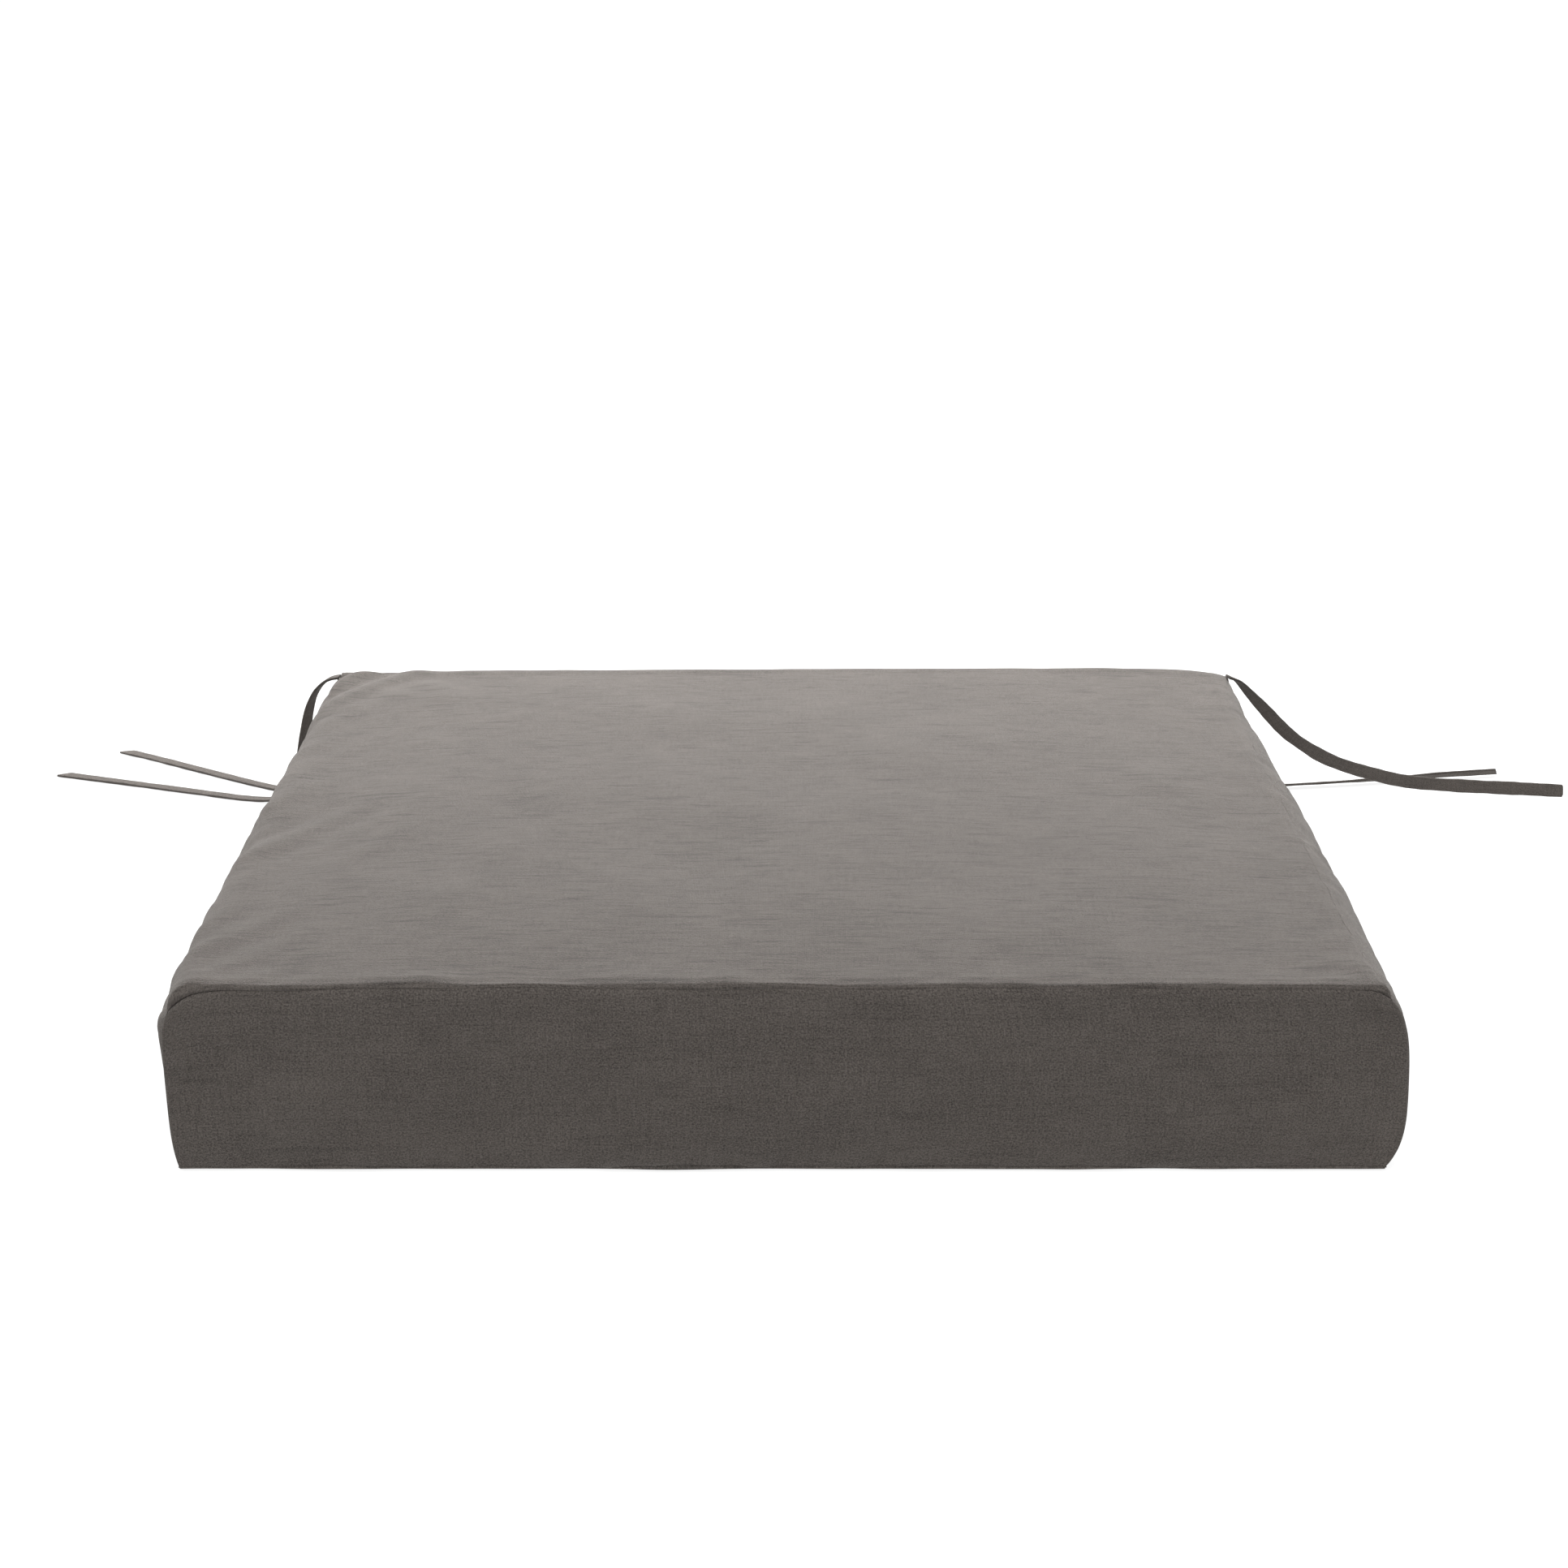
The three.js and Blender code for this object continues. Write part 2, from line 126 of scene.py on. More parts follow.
class Nodes:
    """Short calls for building a material's node tree."""

    def __init__(self, name):
        self.material = bpy.data.materials.new(name)
        self.material.use_nodes = True
        self.tree = self.material.node_tree
        self.shader = self.tree.nodes["Principled BSDF"]

    def add(self, kind, **settings):
        node = self.tree.nodes.new(kind)
        for key, value in settings.items():
            setattr(node, key, value)
        return node

    def place(self):
        return self.add("ShaderNodeTexCoord").outputs["Object"]

    def link(self, a, b):
        self.tree.links.new(a, b)

    def total(self, first, *terms):
        """first plus each (value, weight) of the terms, in their order."""
        for value, weight in terms:
            first = self.math("ADD", first, self.math("MULTIPLY", value, weight))
        return first

    def math(self, operation, a, b=0.5, clamp=False):
        node = self.add("ShaderNodeMath", operation=operation, use_clamp=clamp)
        for socket, value in zip(node.inputs, (a, b)):
            if isinstance(value, (int, float)):
                socket.default_value = value
            else:
                self.link(value, socket)
        return node.outputs[0]

    def scaled(self, vector, scale, offset=(0.0, 0.0, 0.0)):
        node = self.add("ShaderNodeMapping")
        node.inputs["Scale"].default_value = scale
        node.inputs["Location"].default_value = offset
        self.link(vector, node.inputs["Vector"])
        return node.outputs["Vector"]

    def noise(self, vector, scale=1.0, detail=2.0, roughness=0.5):
        node = self.add("ShaderNodeTexNoise")
        node.inputs["Scale"].default_value = scale
        node.inputs["Detail"].default_value = detail
        node.inputs["Roughness"].default_value = roughness
        self.link(vector, node.inputs["Vector"])
        return node.outputs["Fac"]

    def spread(self, value, low, high, out_low=0.0, out_high=1.0):
        node = self.add("ShaderNodeMapRange")
        for socket, number in zip(list(node.inputs)[1:5], (low, high, out_low, out_high)):
            socket.default_value = number
        self.link(value, node.inputs[0])
        return node.outputs[0]

    def tint(self, factor, dark, light):
        node = self.add("ShaderNodeMix", data_type="RGBA")
        node.inputs[6].default_value = (*dark, 1.0)
        node.inputs[7].default_value = (*light, 1.0)
        self.link(factor, node.inputs[0])
        return node.outputs[2]

    def bump(self, height, distance, strength):
        node = self.add("ShaderNodeBump")
        node.inputs["Strength"].default_value = strength
        node.inputs["Distance"].default_value = distance
        self.link(height, node.inputs["Height"])
        return node.outputs["Normal"]

    def finish(self, colour=None, roughness=None, normal=None, **fixed):
        for name, value in fixed.items():
            self.shader.inputs[name.replace("_", " ")].default_value = value
        if colour is not None:
            self.link(colour, self.shader.inputs["Base Color"])
        if isinstance(roughness, (int, float)):
            self.shader.inputs["Roughness"].default_value = roughness
        elif roughness is not None:
            self.link(roughness, self.shader.inputs["Roughness"])
        if normal is not None:
            self.link(normal, self.shader.inputs["Normal"])
        return self.material


def woven_cloth(name, dark, light, thread=0.55, sheen=0.22, slub=1.0, grainy=0.42):
    """A plain weave with slubby weft threads. Works in millimetres of cloth, from the UVs."""
    n = Nodes(name)
    uv = n.add("ShaderNodeUVMap", uv_map="cloth").outputs["UV"]
    mm = n.scaled(uv, (1000.0, 1000.0, 1000.0))

    parts = n.add("ShaderNodeSeparateXYZ")
    n.link(mm, parts.inputs[0])
    across = n.math("MULTIPLY", parts.outputs[0], math.pi / thread)
    along = n.math("MULTIPLY", parts.outputs[1], math.pi / thread)
    warp = n.math("ABSOLUTE", n.math("SINE", across))
    weft = n.math("ABSOLUTE", n.math("SINE", along))
    over = n.math("MULTIPLY", n.math("SINE", n.math("MULTIPLY", across, 0.5)),
                  n.math("SINE", n.math("MULTIPLY", along, 0.5)))
    over = n.spread(over, -0.35, 0.35)
    crossing = n.add("ShaderNodeMix", data_type="FLOAT")
    n.link(over, crossing.inputs[0])
    n.link(warp, crossing.inputs[2])
    n.link(weft, crossing.inputs[3])
    weave = crossing.outputs[0]

    weft_slub = n.noise(n.scaled(mm, (0.070, 0.62, 1.0)), detail=2.0, roughness=0.55)
    long_slub = n.noise(n.scaled(mm, (0.028, 0.30, 1.0), (5.0, 17.0, 0.0)), detail=3.0, roughness=0.6)
    warp_slub = n.noise(n.scaled(mm, (0.55, 0.09, 1.0), (7.0, 3.0, 0.0)), detail=2.0)
    grain = n.noise(n.scaled(mm, (1.20, 1.35, 1.0), (31.0, 5.0, 0.0)), detail=3.0, roughness=0.75)
    cloud = n.noise(n.scaled(mm, (0.018, 0.030, 1.0), (2.0, 9.0, 0.0)), detail=4.0, roughness=0.6)
    specks = n.add("ShaderNodeTexVoronoi", feature="F1")
    specks.inputs["Scale"].default_value = 1.0 / 21.0
    n.link(mm, specks.inputs["Vector"])

    streaks = n.spread(weft_slub, 0.30, 0.70, -slub, slub)
    bars = n.spread(long_slub, 0.32, 0.46, -1.0, 0.12)
    uprights = n.spread(warp_slub, 0.30, 0.70, -0.6, 0.6)
    fine = n.spread(grain, 0.34, 0.66, -1.0, 1.0)
    clouds = n.spread(cloud, 0.32, 0.68, -1.0, 1.0)
    flecks = n.spread(specks.outputs["Distance"], 0.016, 0.032, 1.0, 0.0)
    tone = n.total(n.math("MULTIPLY", streaks, 0.13), (bars, 0.20 * slub), (uprights, 0.12),
                   (fine, grainy), (clouds, 0.08), (flecks, 0.9))
    tone = n.math("ADD", tone, n.spread(weave, 0.0, 1.0, -0.12, 0.12))
    tone = n.math("ADD", tone, 0.5, clamp=True)
    colour = n.tint(tone, dark, light)

    raised = n.total(weave, (fine, 0.8), (streaks, 0.25))
    normal = n.bump(raised, 0.00013, 0.9)
    roughness = n.spread(grain, 0.3, 0.7, 0.86, 1.0)
    return n.finish(colour, roughness, normal, Sheen_Weight=sheen, Sheen_Roughness=0.45,
                    Sheen_Tint=(1.0, 0.965, 0.915, 1.0), Specular_IOR_Level=0.25)


def foam_material():
    n = Nodes("foam")
    place = n.place()
    cells = n.add("ShaderNodeTexVoronoi", feature="F1")
    cells.inputs["Scale"].default_value = 900.0
    n.link(place, cells.inputs["Vector"])
    cloud = n.noise(place, scale=18.0, detail=3.0)
    shade = n.math("ADD", n.math("MULTIPLY", cells.outputs["Distance"], 0.6), n.math("MULTIPLY", cloud, 0.5))
    colour = n.tint(shade, (0.60, 0.50, 0.27), (0.83, 0.75, 0.52))
    normal = n.bump(cells.outputs["Distance"], 0.0005, 0.8)
    return n.finish(colour, 0.95, normal, Specular_IOR_Level=0.15)


def fibre_material():
    n = Nodes("fibre_wadding")
    place = n.place()
    strands = n.noise(n.scaled(place, (320.0, 90.0, 320.0)), detail=6.0, roughness=0.7)
    tufts = n.noise(place, scale=45.0, detail=3.0)
    shade = n.math("ADD", n.math("MULTIPLY", strands, 0.7), n.math("MULTIPLY", tufts, 0.4))
    colour = n.tint(shade, (0.66, 0.65, 0.62), (0.93, 0.92, 0.90))
    normal = n.bump(strands, 0.0012, 0.9)
    return n.finish(colour, 1.0, normal, Sheen_Weight=0.4, Specular_IOR_Level=0.1)


def thread_material():
    """Spun thread: the plies wind round it, so fine slanting ridges cross it."""
    n = Nodes("sewing_thread")
    place = n.place()
    plies = n.add("ShaderNodeTexWave", wave_type="BANDS", bands_direction="DIAGONAL")
    plies.inputs["Scale"].default_value = 1400.0
    plies.inputs["Distortion"].default_value = 0.8
    n.link(place, plies.inputs["Vector"])
    colour = n.tint(plies.outputs["Fac"], (0.030, 0.026, 0.023), (0.075, 0.067, 0.060))
    normal = n.bump(plies.outputs["Fac"], 0.00006, 0.8)
    return n.finish(colour, 0.62, normal, Sheen_Weight=0.3)


def tape_material():
    """Herringbone twill, as zip tape is woven."""
    n = Nodes("zip_tape")
    place = n.place()
    twill = n.add("ShaderNodeTexWave", wave_type="BANDS", bands_direction="DIAGONAL")
    twill.inputs["Scale"].default_value = 420.0
    twill.inputs["Distortion"].default_value = 0.4
    n.link(place, twill.inputs["Vector"])
    grain = n.noise(place, scale=1500.0, detail=3.0)
    shade = n.math("ADD", n.math("MULTIPLY", twill.outputs["Fac"], 0.6), n.math("MULTIPLY", grain, 0.4))
    colour = n.tint(shade, (0.040, 0.035, 0.031), (0.098, 0.087, 0.078))
    normal = n.bump(shade, 0.00015, 0.8)
    return n.finish(colour, 0.9, normal, Sheen_Weight=0.35)


def teeth_material():
    n = Nodes("moulded_teeth")
    place = n.place()
    flow = n.noise(place, scale=600.0, detail=3.0)
    wear = n.noise(place, scale=60.0, detail=2.0)
    colour = n.tint(wear, (0.036, 0.032, 0.029), (0.066, 0.059, 0.053))
    normal = n.bump(flow, 0.00003, 0.6)
    return n.finish(colour, n.spread(flow, 0.3, 0.7, 0.32, 0.5), normal)


def metal_material():
    n = Nodes("plated_metal")
    place = n.place()
    brushed = n.noise(n.scaled(place, (150.0, 1500.0, 2600.0)), detail=4.0, roughness=0.7)
    wear = n.noise(place, scale=220.0, detail=4.0)
    colour = n.tint(wear, (0.20, 0.19, 0.18), (0.33, 0.315, 0.30))
    roughness = n.spread(brushed, 0.3, 0.7, 0.24, 0.46)
    normal = n.bump(brushed, 0.00002, 0.5)
    return n.finish(colour, roughness, normal, Metallic=1.0)


CLOTH_DARK = (0.0310, 0.0259, 0.0232)
CLOTH_LIGHT = (0.139, 0.1215, 0.109)
cloth = woven_cloth("cover_cloth", CLOTH_DARK, CLOTH_LIGHT, slub=1.25)
cloth_boxing = woven_cloth("boxing_cloth", CLOTH_DARK, CLOTH_LIGHT, slub=0.45, grainy=0.50)
cloth_tie = woven_cloth("tie_cloth", CLOTH_DARK, CLOTH_LIGHT, sheen=0.1, slub=0.3, grainy=0.25)
foam_mat = foam_material()
fibre_mat = fibre_material()
thread_mat = thread_material()
tape_mat = tape_material()
teeth_mat = teeth_material()
metal_mat = metal_material()


# ------ ties

TIE_WIDTH = 8.0
TIE_THICKNESS = 1.4

# Each tie's route: x, y, z in metres and its lean in degrees. It follows the CAD source from the
# second point on, within 1.3 mm, and its first point lies inside the seam.
TIE_ROUTES = {
    "tie_left_outer": [
        (-0.2538, 0.2486, 0.0831, 0), (-0.2573, 0.249, 0.0834, 0),
        (-0.2603, 0.2496, 0.0818, 0), (-0.264, 0.2506, 0.079, 0),
        (-0.268, 0.2519, 0.074, 0), (-0.2713, 0.2533, 0.067, 0), (-0.2743, 0.2556, 0.056, 0),
        (-0.2772, 0.2586, 0.042, 0), (-0.2805, 0.262, 0.027, 0), (-0.2855, 0.266, 0.013, 0),
        (-0.293, 0.271, 0.0042, 0), (-0.304, 0.2756, 0.0014, 0), (-0.3185, 0.2798, 0.001, 0),
        (-0.334, 0.286, 0.001, 0), (-0.365, 0.299, 0.001, 0), (-0.397, 0.3122, 0.001, 0),
        (-0.434, 0.3273, 0.001, 0),
    ],
    "tie_left_inner": [
        (-0.2502, 0.2492, 0.0806, 0), (-0.25, 0.2518, 0.0820, 0), (-0.2498, 0.255, 0.0834, 0),
        (-0.2499, 0.2595, 0.0832, 0), (-0.2503, 0.264, 0.0796, 0),
        (-0.2515, 0.2685, 0.071, 0), (-0.254, 0.273, 0.058, 0),
        (-0.2585, 0.278, 0.04, 0), (-0.265, 0.283, 0.022, 0), (-0.274, 0.2875, 0.0085, 0),
        (-0.286, 0.292, 0.0022, 0), (-0.299, 0.2978, 0.001, 0), (-0.316, 0.3088, 0.001, 0),
        (-0.3495, 0.334, 0.001, 0), (-0.384, 0.3603, 0.001, 0), (-0.406, 0.376, 0.001, 0),
    ],
    "tie_right_outer": [
        (0.2535, 0.2485, 0.0832, 0), (0.2574, 0.2494, 0.0824, 0),
        (0.2606, 0.2508, 0.0794, 10), (0.2686, 0.254, 0.0701, 28),
        (0.2766, 0.258, 0.0613, 44), (0.2844, 0.262, 0.0523, 58), (0.2932, 0.266, 0.0434, 68),
        (0.305, 0.27, 0.0344, 75), (0.317, 0.2738, 0.0268, 79), (0.33, 0.277, 0.021, 82),
        (0.345, 0.2812, 0.0156, 86), (0.3605, 0.2852, 0.0106, 92), (0.3755, 0.2878, 0.0077, 98),
        (0.39, 0.2888, 0.0063, 103), (0.4115, 0.2884, 0.0052, 109), (0.433, 0.2868, 0.0047, 115),
        (0.459, 0.284, 0.0041, 121),
    ],
    "tie_right_inner": [
        (0.2502, 0.2492, 0.0790, 0), (0.2503, 0.2518, 0.0802, 0), (0.2506, 0.255, 0.0808, 0),
        (0.2513, 0.2595, 0.0800, 0), (0.2528, 0.2645, 0.0755, 0),
        (0.2553, 0.27, 0.065, 0), (0.259, 0.276, 0.048, 0),
        (0.264, 0.2825, 0.03, 0), (0.271, 0.2895, 0.0145, 0), (0.281, 0.296, 0.005, 6),
        (0.294, 0.3006, 0.0026, 14), (0.307, 0.303, 0.0024, 18), (0.336, 0.3078, 0.0026, 22),
        (0.359, 0.3124, 0.0029, 27), (0.404, 0.3214, 0.0033, 37), (0.429, 0.326, 0.0034, 40),
    ],
}
# How each tip is cut: how far one edge runs on past the middle, in millimetres.
TIE_TIPS = {"tie_left_outer": 3.2, "tie_left_inner": 3.0, "tie_right_outer": 0.0, "tie_right_inner": 1.8}


def between(t, t_a, t_b, a, b):
    return (t_b - t) / (t_b - t_a) * a + (t - t_a) / (t_b - t_a) * b


def catmull(points, per_span=24):
    """A centripetal Catmull-Rom curve through the points, finely sampled."""
    p = np.asarray(points, float)
    p = np.vstack([2 * p[0] - p[1], p, 2 * p[-1] - p[-2]])
    out = []
    for i in range(1, len(p) - 2):
        near = p[i - 1:i + 3]
        k = [0.0]
        for start, end in zip(near, near[1:]):
            k.append(k[-1] + max(1e-6, np.linalg.norm((end - start)[:3])) ** 0.5)
        for t in np.linspace(k[1], k[2], per_span, endpoint=False):
            a1, a2, a3 = (between(t, k[m], k[m + 1], near[m], near[m + 1]) for m in range(3))
            b1, b2 = between(t, k[0], k[2], a1, a2), between(t, k[1], k[3], a2, a3)
            out.append(between(t, k[1], k[2], b1, b2))
    out.append(p[-2])
    return np.array(out)


def even_steps(curve, count):
    length = np.concatenate([[0.0], np.cumsum(np.linalg.norm(np.diff(curve[:, :3], axis=0), axis=1))])
    s = np.linspace(0.0, length[-1], count)
    return np.stack([np.interp(s, length, curve[:, k]) for k in range(curve.shape[1])], axis=1), length[-1]


def eased(line, reach):
    """The sampled line with its small kinks averaged out, its two ends kept."""
    kernel = bell(reach)
    head = 2 * line[:1] - line[reach:0:-1]
    tail = 2 * line[-1:] - line[-2:-reach - 2:-1]
    whole = np.vstack([head, line, tail])
    return np.stack([np.convolve(whole[:, k], kernel, "valid") for k in range(line.shape[1])], axis=1)


STITCH_ACROSS = 2.3  # where the edge stitching runs, from the strip's middle
STITCH_DIP = 0.17


def ribbon_section():
    """The folded strip's section: (across, up) in millimetres, round the rim, dipped at its stitching."""
    half, thick = TIE_WIDTH / 2.0, TIE_THICKNESS / 2.0
    section = []
    for k in range(5):
        a = -math.pi / 2 + math.pi * k / 4
        section.append((half - thick + thick * math.cos(a), thick * math.sin(a)))
    top_points = (2.7, STITCH_ACROSS, 1.9, 1.0, 0.0, -1.0, -2.0, -2.8)
    for x in top_points:
        section.append((x, thick - (STITCH_DIP if x == STITCH_ACROSS else 0.0)))
    for k in range(5):
        a = math.pi / 2 + math.pi * k / 4
        section.append((-half + thick + thick * math.cos(a), thick * math.sin(a)))
    for x in top_points[::-1]:
        section.append((x, -thick + (STITCH_DIP if x == STITCH_ACROSS else 0.0)))
    return np.array(section)


def make_tie(name):
    route = np.array(TIE_ROUTES[name], float)
    route[:, :3] *= 1000.0
    steps = 190
    line, _ = even_steps(catmull(route), steps)
    line, length = even_steps(eased(line, 9), steps)
    centre, lean = line[:, :3], np.radians(line[:, 3])
    tangent = np.gradient(centre, axis=0)
    tangent /= np.linalg.norm(tangent, axis=1)[:, None]
    flat = np.cross(np.array([0.0, 0.0, 1.0]), tangent)
    flat /= np.linalg.norm(flat, axis=1)[:, None]
    turn = -lean * np.sign(tangent[:, 0])
    c, s = np.cos(turn)[:, None], np.sin(turn)[:, None]
    across = flat * c + np.cross(tangent, flat) * s
    up = np.cross(tangent, across)

    section = ribbon_section()
    side = len(section)
    seed = sum(ord(ch) for ch in name)
    wobble = Ripple(seed, 26.0, 0.4, 10)
    verts, uvs = [], []
    rim = np.abs(section[:, 0])
    for i in range(steps):
        s_mm = length * i / (steps - 1)
        narrow = 1.0 - 0.03 * (1 + wobble(s_mm, 3.0))
        stitch = 0.5 + 0.5 * math.cos(2 * math.pi * s_mm / 2.6)
        for k, (x, z) in enumerate(section):
            dip = 0.0
            if abs(x - STITCH_ACROSS) < 0.01:
                dip = 0.16 * stitch * (1 if z > 0 else -1)
            puff = 0.06 * float(wobble(s_mm * 1.7, 40.0 + x)) * (1 if z > 0 else -1)
            near_tip = max(0.0, 1.0 - (length - s_mm) / 7.0)
            shift = TIE_TIPS[name] * (x / 4.0) * near_tip
            round_off = (0.55 * (rim[k] / 4.0) ** 6) * max(0.0, 1.0 - (length - s_mm) / 1.5) * 1.6
            place = (centre[i] + across[i] * x * narrow + up[i] * (z + dip + puff)
                     + tangent[i] * (shift - round_off))
            place[2] = max(place[2], 0.25)
            verts.append(place)
            uvs.append((s_mm, x + (0.0 if z > 0 else 20.0)))
    faces = []
    for i in range(steps - 1):
        for k in range(side):
            a = i * side + k
            b = i * side + (k + 1) % side
            faces.append((a, a + side, b + side, b))
    faces.append(tuple(range(side)))
    faces.append(tuple(range((steps - 1) * side, steps * side))[::-1])
    mesh = mesh_from(name + "_cloth", verts, faces, uvs)
    obj = new_object(name + "_strip", mesh)
    mesh.materials.append(cloth_tie)
    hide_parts(name)


for tie_name in TIE_ROUTES:
    make_tie(tie_name)


# ------ the cover's seam lines

HALF_X = 254.0
HALF_Y = 250.0
SEAM_Z = 84.0  # the top seam, away from the corners
BOTTOM_Z = 1.9  # the bottom seam
LEFT_SEAM_Z = 72.0
RIGHT_SEAM_X = 248.2
LOWEST_CLOTH = 0.35


def barrel(t):
    return 4.0 * t * (1.0 - t)


def levelled(s, power=4):
    return 1.0 - np.abs(s) ** power


# The pad's half-width at each corner, keyed by (left, front), as points of (height, half-width).
CORNER_SHAPES = {
    (True, True): [(BOTTOM_Z, 256.6), (10, 258.6), (31, 260.3), (55, 260.8), (65, 259.8), (71.5, 258.4)],
    (False, True): [(BOTTOM_Z, 255.4), (9, 260.0), (27, 263.0), (49, 262.8),
                    (60, 261.6), (70, 258.4), (77.5, 254.0)],
    (True, False): [(BOTTOM_Z, 256.0), (12, 259.5), (30, 261.5), (52, 261.0), (70, 257.8), (82.2, 254.6)],
    (False, False): [(BOTTOM_Z, 256.0), (12, 259.8), (30, 262.2), (52, 261.6), (70, 257.4), (83.0, 252.8)],
}


def corner_line(left, front, t):
    """The seam up one corner, t from 0 at the bottom seam to 1 at the top seam."""
    t = np.asarray(t, float)
    shape = np.array(CORNER_SHAPES[(left, front)])
    z = shape[0, 0] + (shape[-1, 0] - shape[0, 0]) * t
    fit = np.polynomial.Polynomial.fit(shape[:, 0], shape[:, 1], 4)
    x = fit(z) + (shape[0, 1] - fit(shape[0, 0])) * (1 - t) + (shape[-1, 1] - fit(shape[-1, 0])) * t
    y = (-1.0 if front else 1.0) * (HALF_Y - 1.2 * barrel(t))
    return np.stack([(-1.0 if left else 1.0) * x, y, z], axis=-1)


side_wave = Ripple(11, 60.0, 0.5)
fine_wave = Ripple(12, 18.0, 0.4)


def top_front(s):
    """The top seam along the front, s from -1 at the left to 1."""
    s = np.asarray(s, float)
    a, b = corner_line(True, True, 1.0), corner_line(False, True, 1.0)
    x = HALF_X * s + (a[0] + HALF_X) * np.clip(-s, 0, 1) ** 6 + (b[0] - HALF_X) * np.clip(s, 0, 1) ** 6
    from_left, from_right = (s + 1.0) * HALF_X, (1.0 - s) * HALF_X
    drop_left = (SEAM_Z - a[2]) * np.exp(-from_left / 7.5)
    drop_left += 1.2 * np.exp(-from_left / 32.0) * (1 - np.exp(-from_left / 7.5))
    drop_right = (SEAM_Z - b[2]) * np.exp(-from_right / 6.0)
    z = SEAM_Z - drop_left - drop_right + 0.25 * side_wave(x, 5.0) * levelled(s)
    y = -HALF_Y + 0.3 * side_wave(x, 95.0) * levelled(s)
    return np.stack([x, y, z], axis=-1)


def top_rear(s):
    """The top seam along the rear, which rises between its corners."""
    s = np.asarray(s, float)
    a, b = corner_line(True, False, 1.0), corner_line(False, False, 1.0)
    x = a[0] * (1 - s) / 2 + b[0] * (1 + s) / 2
    d = (1 - np.abs(s)) * HALF_X
    z = a[2] * (1 - s) / 2 + b[2] * (1 + s) / 2 + (4.2 + 0.6 * s) * (1 - np.exp(-d / 15.0))
    y = HALF_Y + 0.3 * side_wave(x, 300.0) * levelled(s)
    return np.stack([x, y, z], axis=-1)


def top_side(left, v):
    """The top seam along one side, v from -1 at the front to 1."""
    v = np.asarray(v, float)
    a, b = corner_line(left, True, 1.0), corner_line(left, False, 1.0)
    f = (1 - v) / 2
    y = -HALF_Y * f + HALF_Y * (1 - f)
    if left:
        sag = smoothstep((1.0 - v) / 0.35)
        x = b[0] + (a[0] - b[0]) * f - 2.6 * levelled(v, 8)
        z = b[2] - (b[2] - LEFT_SEAM_Z) * sag + 0.6 * side_wave(y, 40.0) * levelled(v)
        z = z + (a[2] - LEFT_SEAM_Z) * smoothstep((-v - 0.9) / 0.1)
    else:
        from_front, from_rear = (1 + v) * HALF_Y, (1 - v) * HALF_Y
        near_front, near_rear = np.exp(-from_front / 16.0), np.exp(-from_rear / 40.0)
        x = RIGHT_SEAM_X + (a[0] - RIGHT_SEAM_X) * near_front + (b[0] - RIGHT_SEAM_X) * near_rear
        seam = SEAM_Z - 0.3
        z = seam - (seam - a[2]) * np.exp(-from_front / 8.0) - (seam - b[2]) * np.exp(-from_rear / 8.0)
        z = z + 0.3 * side_wave(y, 140.0) * levelled(v)
        x = x + 0.35 * fine_wave(y, 33.0) * levelled(v)
    return np.stack([x, y, z], axis=-1)


def bottom_line(edge, s):
    """The bottom seam along one edge, s from -1 to 1."""
    s = np.asarray(s, float)
    wave = side_wave(260.0 * s, {"front": 500.0, "rear": 610.0, "left": 720.0, "right": 830.0}[edge])
    wave = wave * levelled(s, 8)
    z = BOTTOM_Z + 0.4 * wave
    if edge in ("front", "rear"):
        sign = -1.0 if edge == "front" else 1.0
        x = 256.1 * s - (0.6 * (1 + s) / 2 * np.clip(s, 0, 1) if edge == "front" else 0.0)
        return np.stack([x, sign * (HALF_Y + 0.5 * wave) * np.ones_like(s), z], axis=-1)
    sign = -1.0 if edge == "left" else 1.0
    corner = 256.0 + (0.6 if edge == "left" else -0.6) * np.clip(-s, 0, 1)
    return np.stack([sign * (corner + 0.5 * wave) * np.ones_like(s), HALF_Y * s, z], axis=-1)


def coons(low, high, left, right, a, b):
    """Blends four boundary curves. low and high run with a; left and right run with b."""
    a3, b3 = a[:, None, None], b[None, :, None]
    lo, hi = low[:, None, :], high[:, None, :]
    le, ri = left[None, :, :], right[None, :, :]
    flat = ((1 - a3) * (1 - b3) * low[0] + a3 * (1 - b3) * low[-1]
            + (1 - a3) * b3 * high[0] + a3 * b3 * high[-1])
    return (1 - b3) * lo + b3 * hi + (1 - a3) * le + a3 * ri - flat


END_DENSITY = 4.0 / 0.9  # how much closer the samples lie at a panel's edge


def dense_ends(count, span, reach=16.0):
    """Parameters 0 to 1 over span millimetres, closely spaced near both ends."""
    x = np.linspace(0.0, 1.0, 4001)
    d = np.minimum(x, 1 - x) * span
    weight = 1.0 + (END_DENSITY - 1.0) * np.exp(-(d / reach) ** 1.3)
    total = np.concatenate([[0.0], np.cumsum((weight[1:] + weight[:-1]) / 2)])
    total /= total[-1]
    return np.interp(np.linspace(0.0, 1.0, count), total, x)


def normals_of(points):
    du = np.gradient(points, axis=0)
    dv = np.gradient(points, axis=1)
    n = np.cross(du, dv)
    return n / np.maximum(1e-9, np.linalg.norm(n, axis=-1))[..., None]


def tuck(distance, depth, width):
    """How far the cloth turns in towards the seam line at a distance from it."""
    return -depth * np.exp(-(distance / width) ** 2)


def resampled(field, a, b, fa, fb):
    """The field, known at fractions a and b of a panel, read at fractions fa and fb."""
    half = np.stack([np.interp(fb, b, line) for line in field])
    return np.stack([np.interp(fa, a, half[:, j]) for j in range(len(fb))], axis=1)


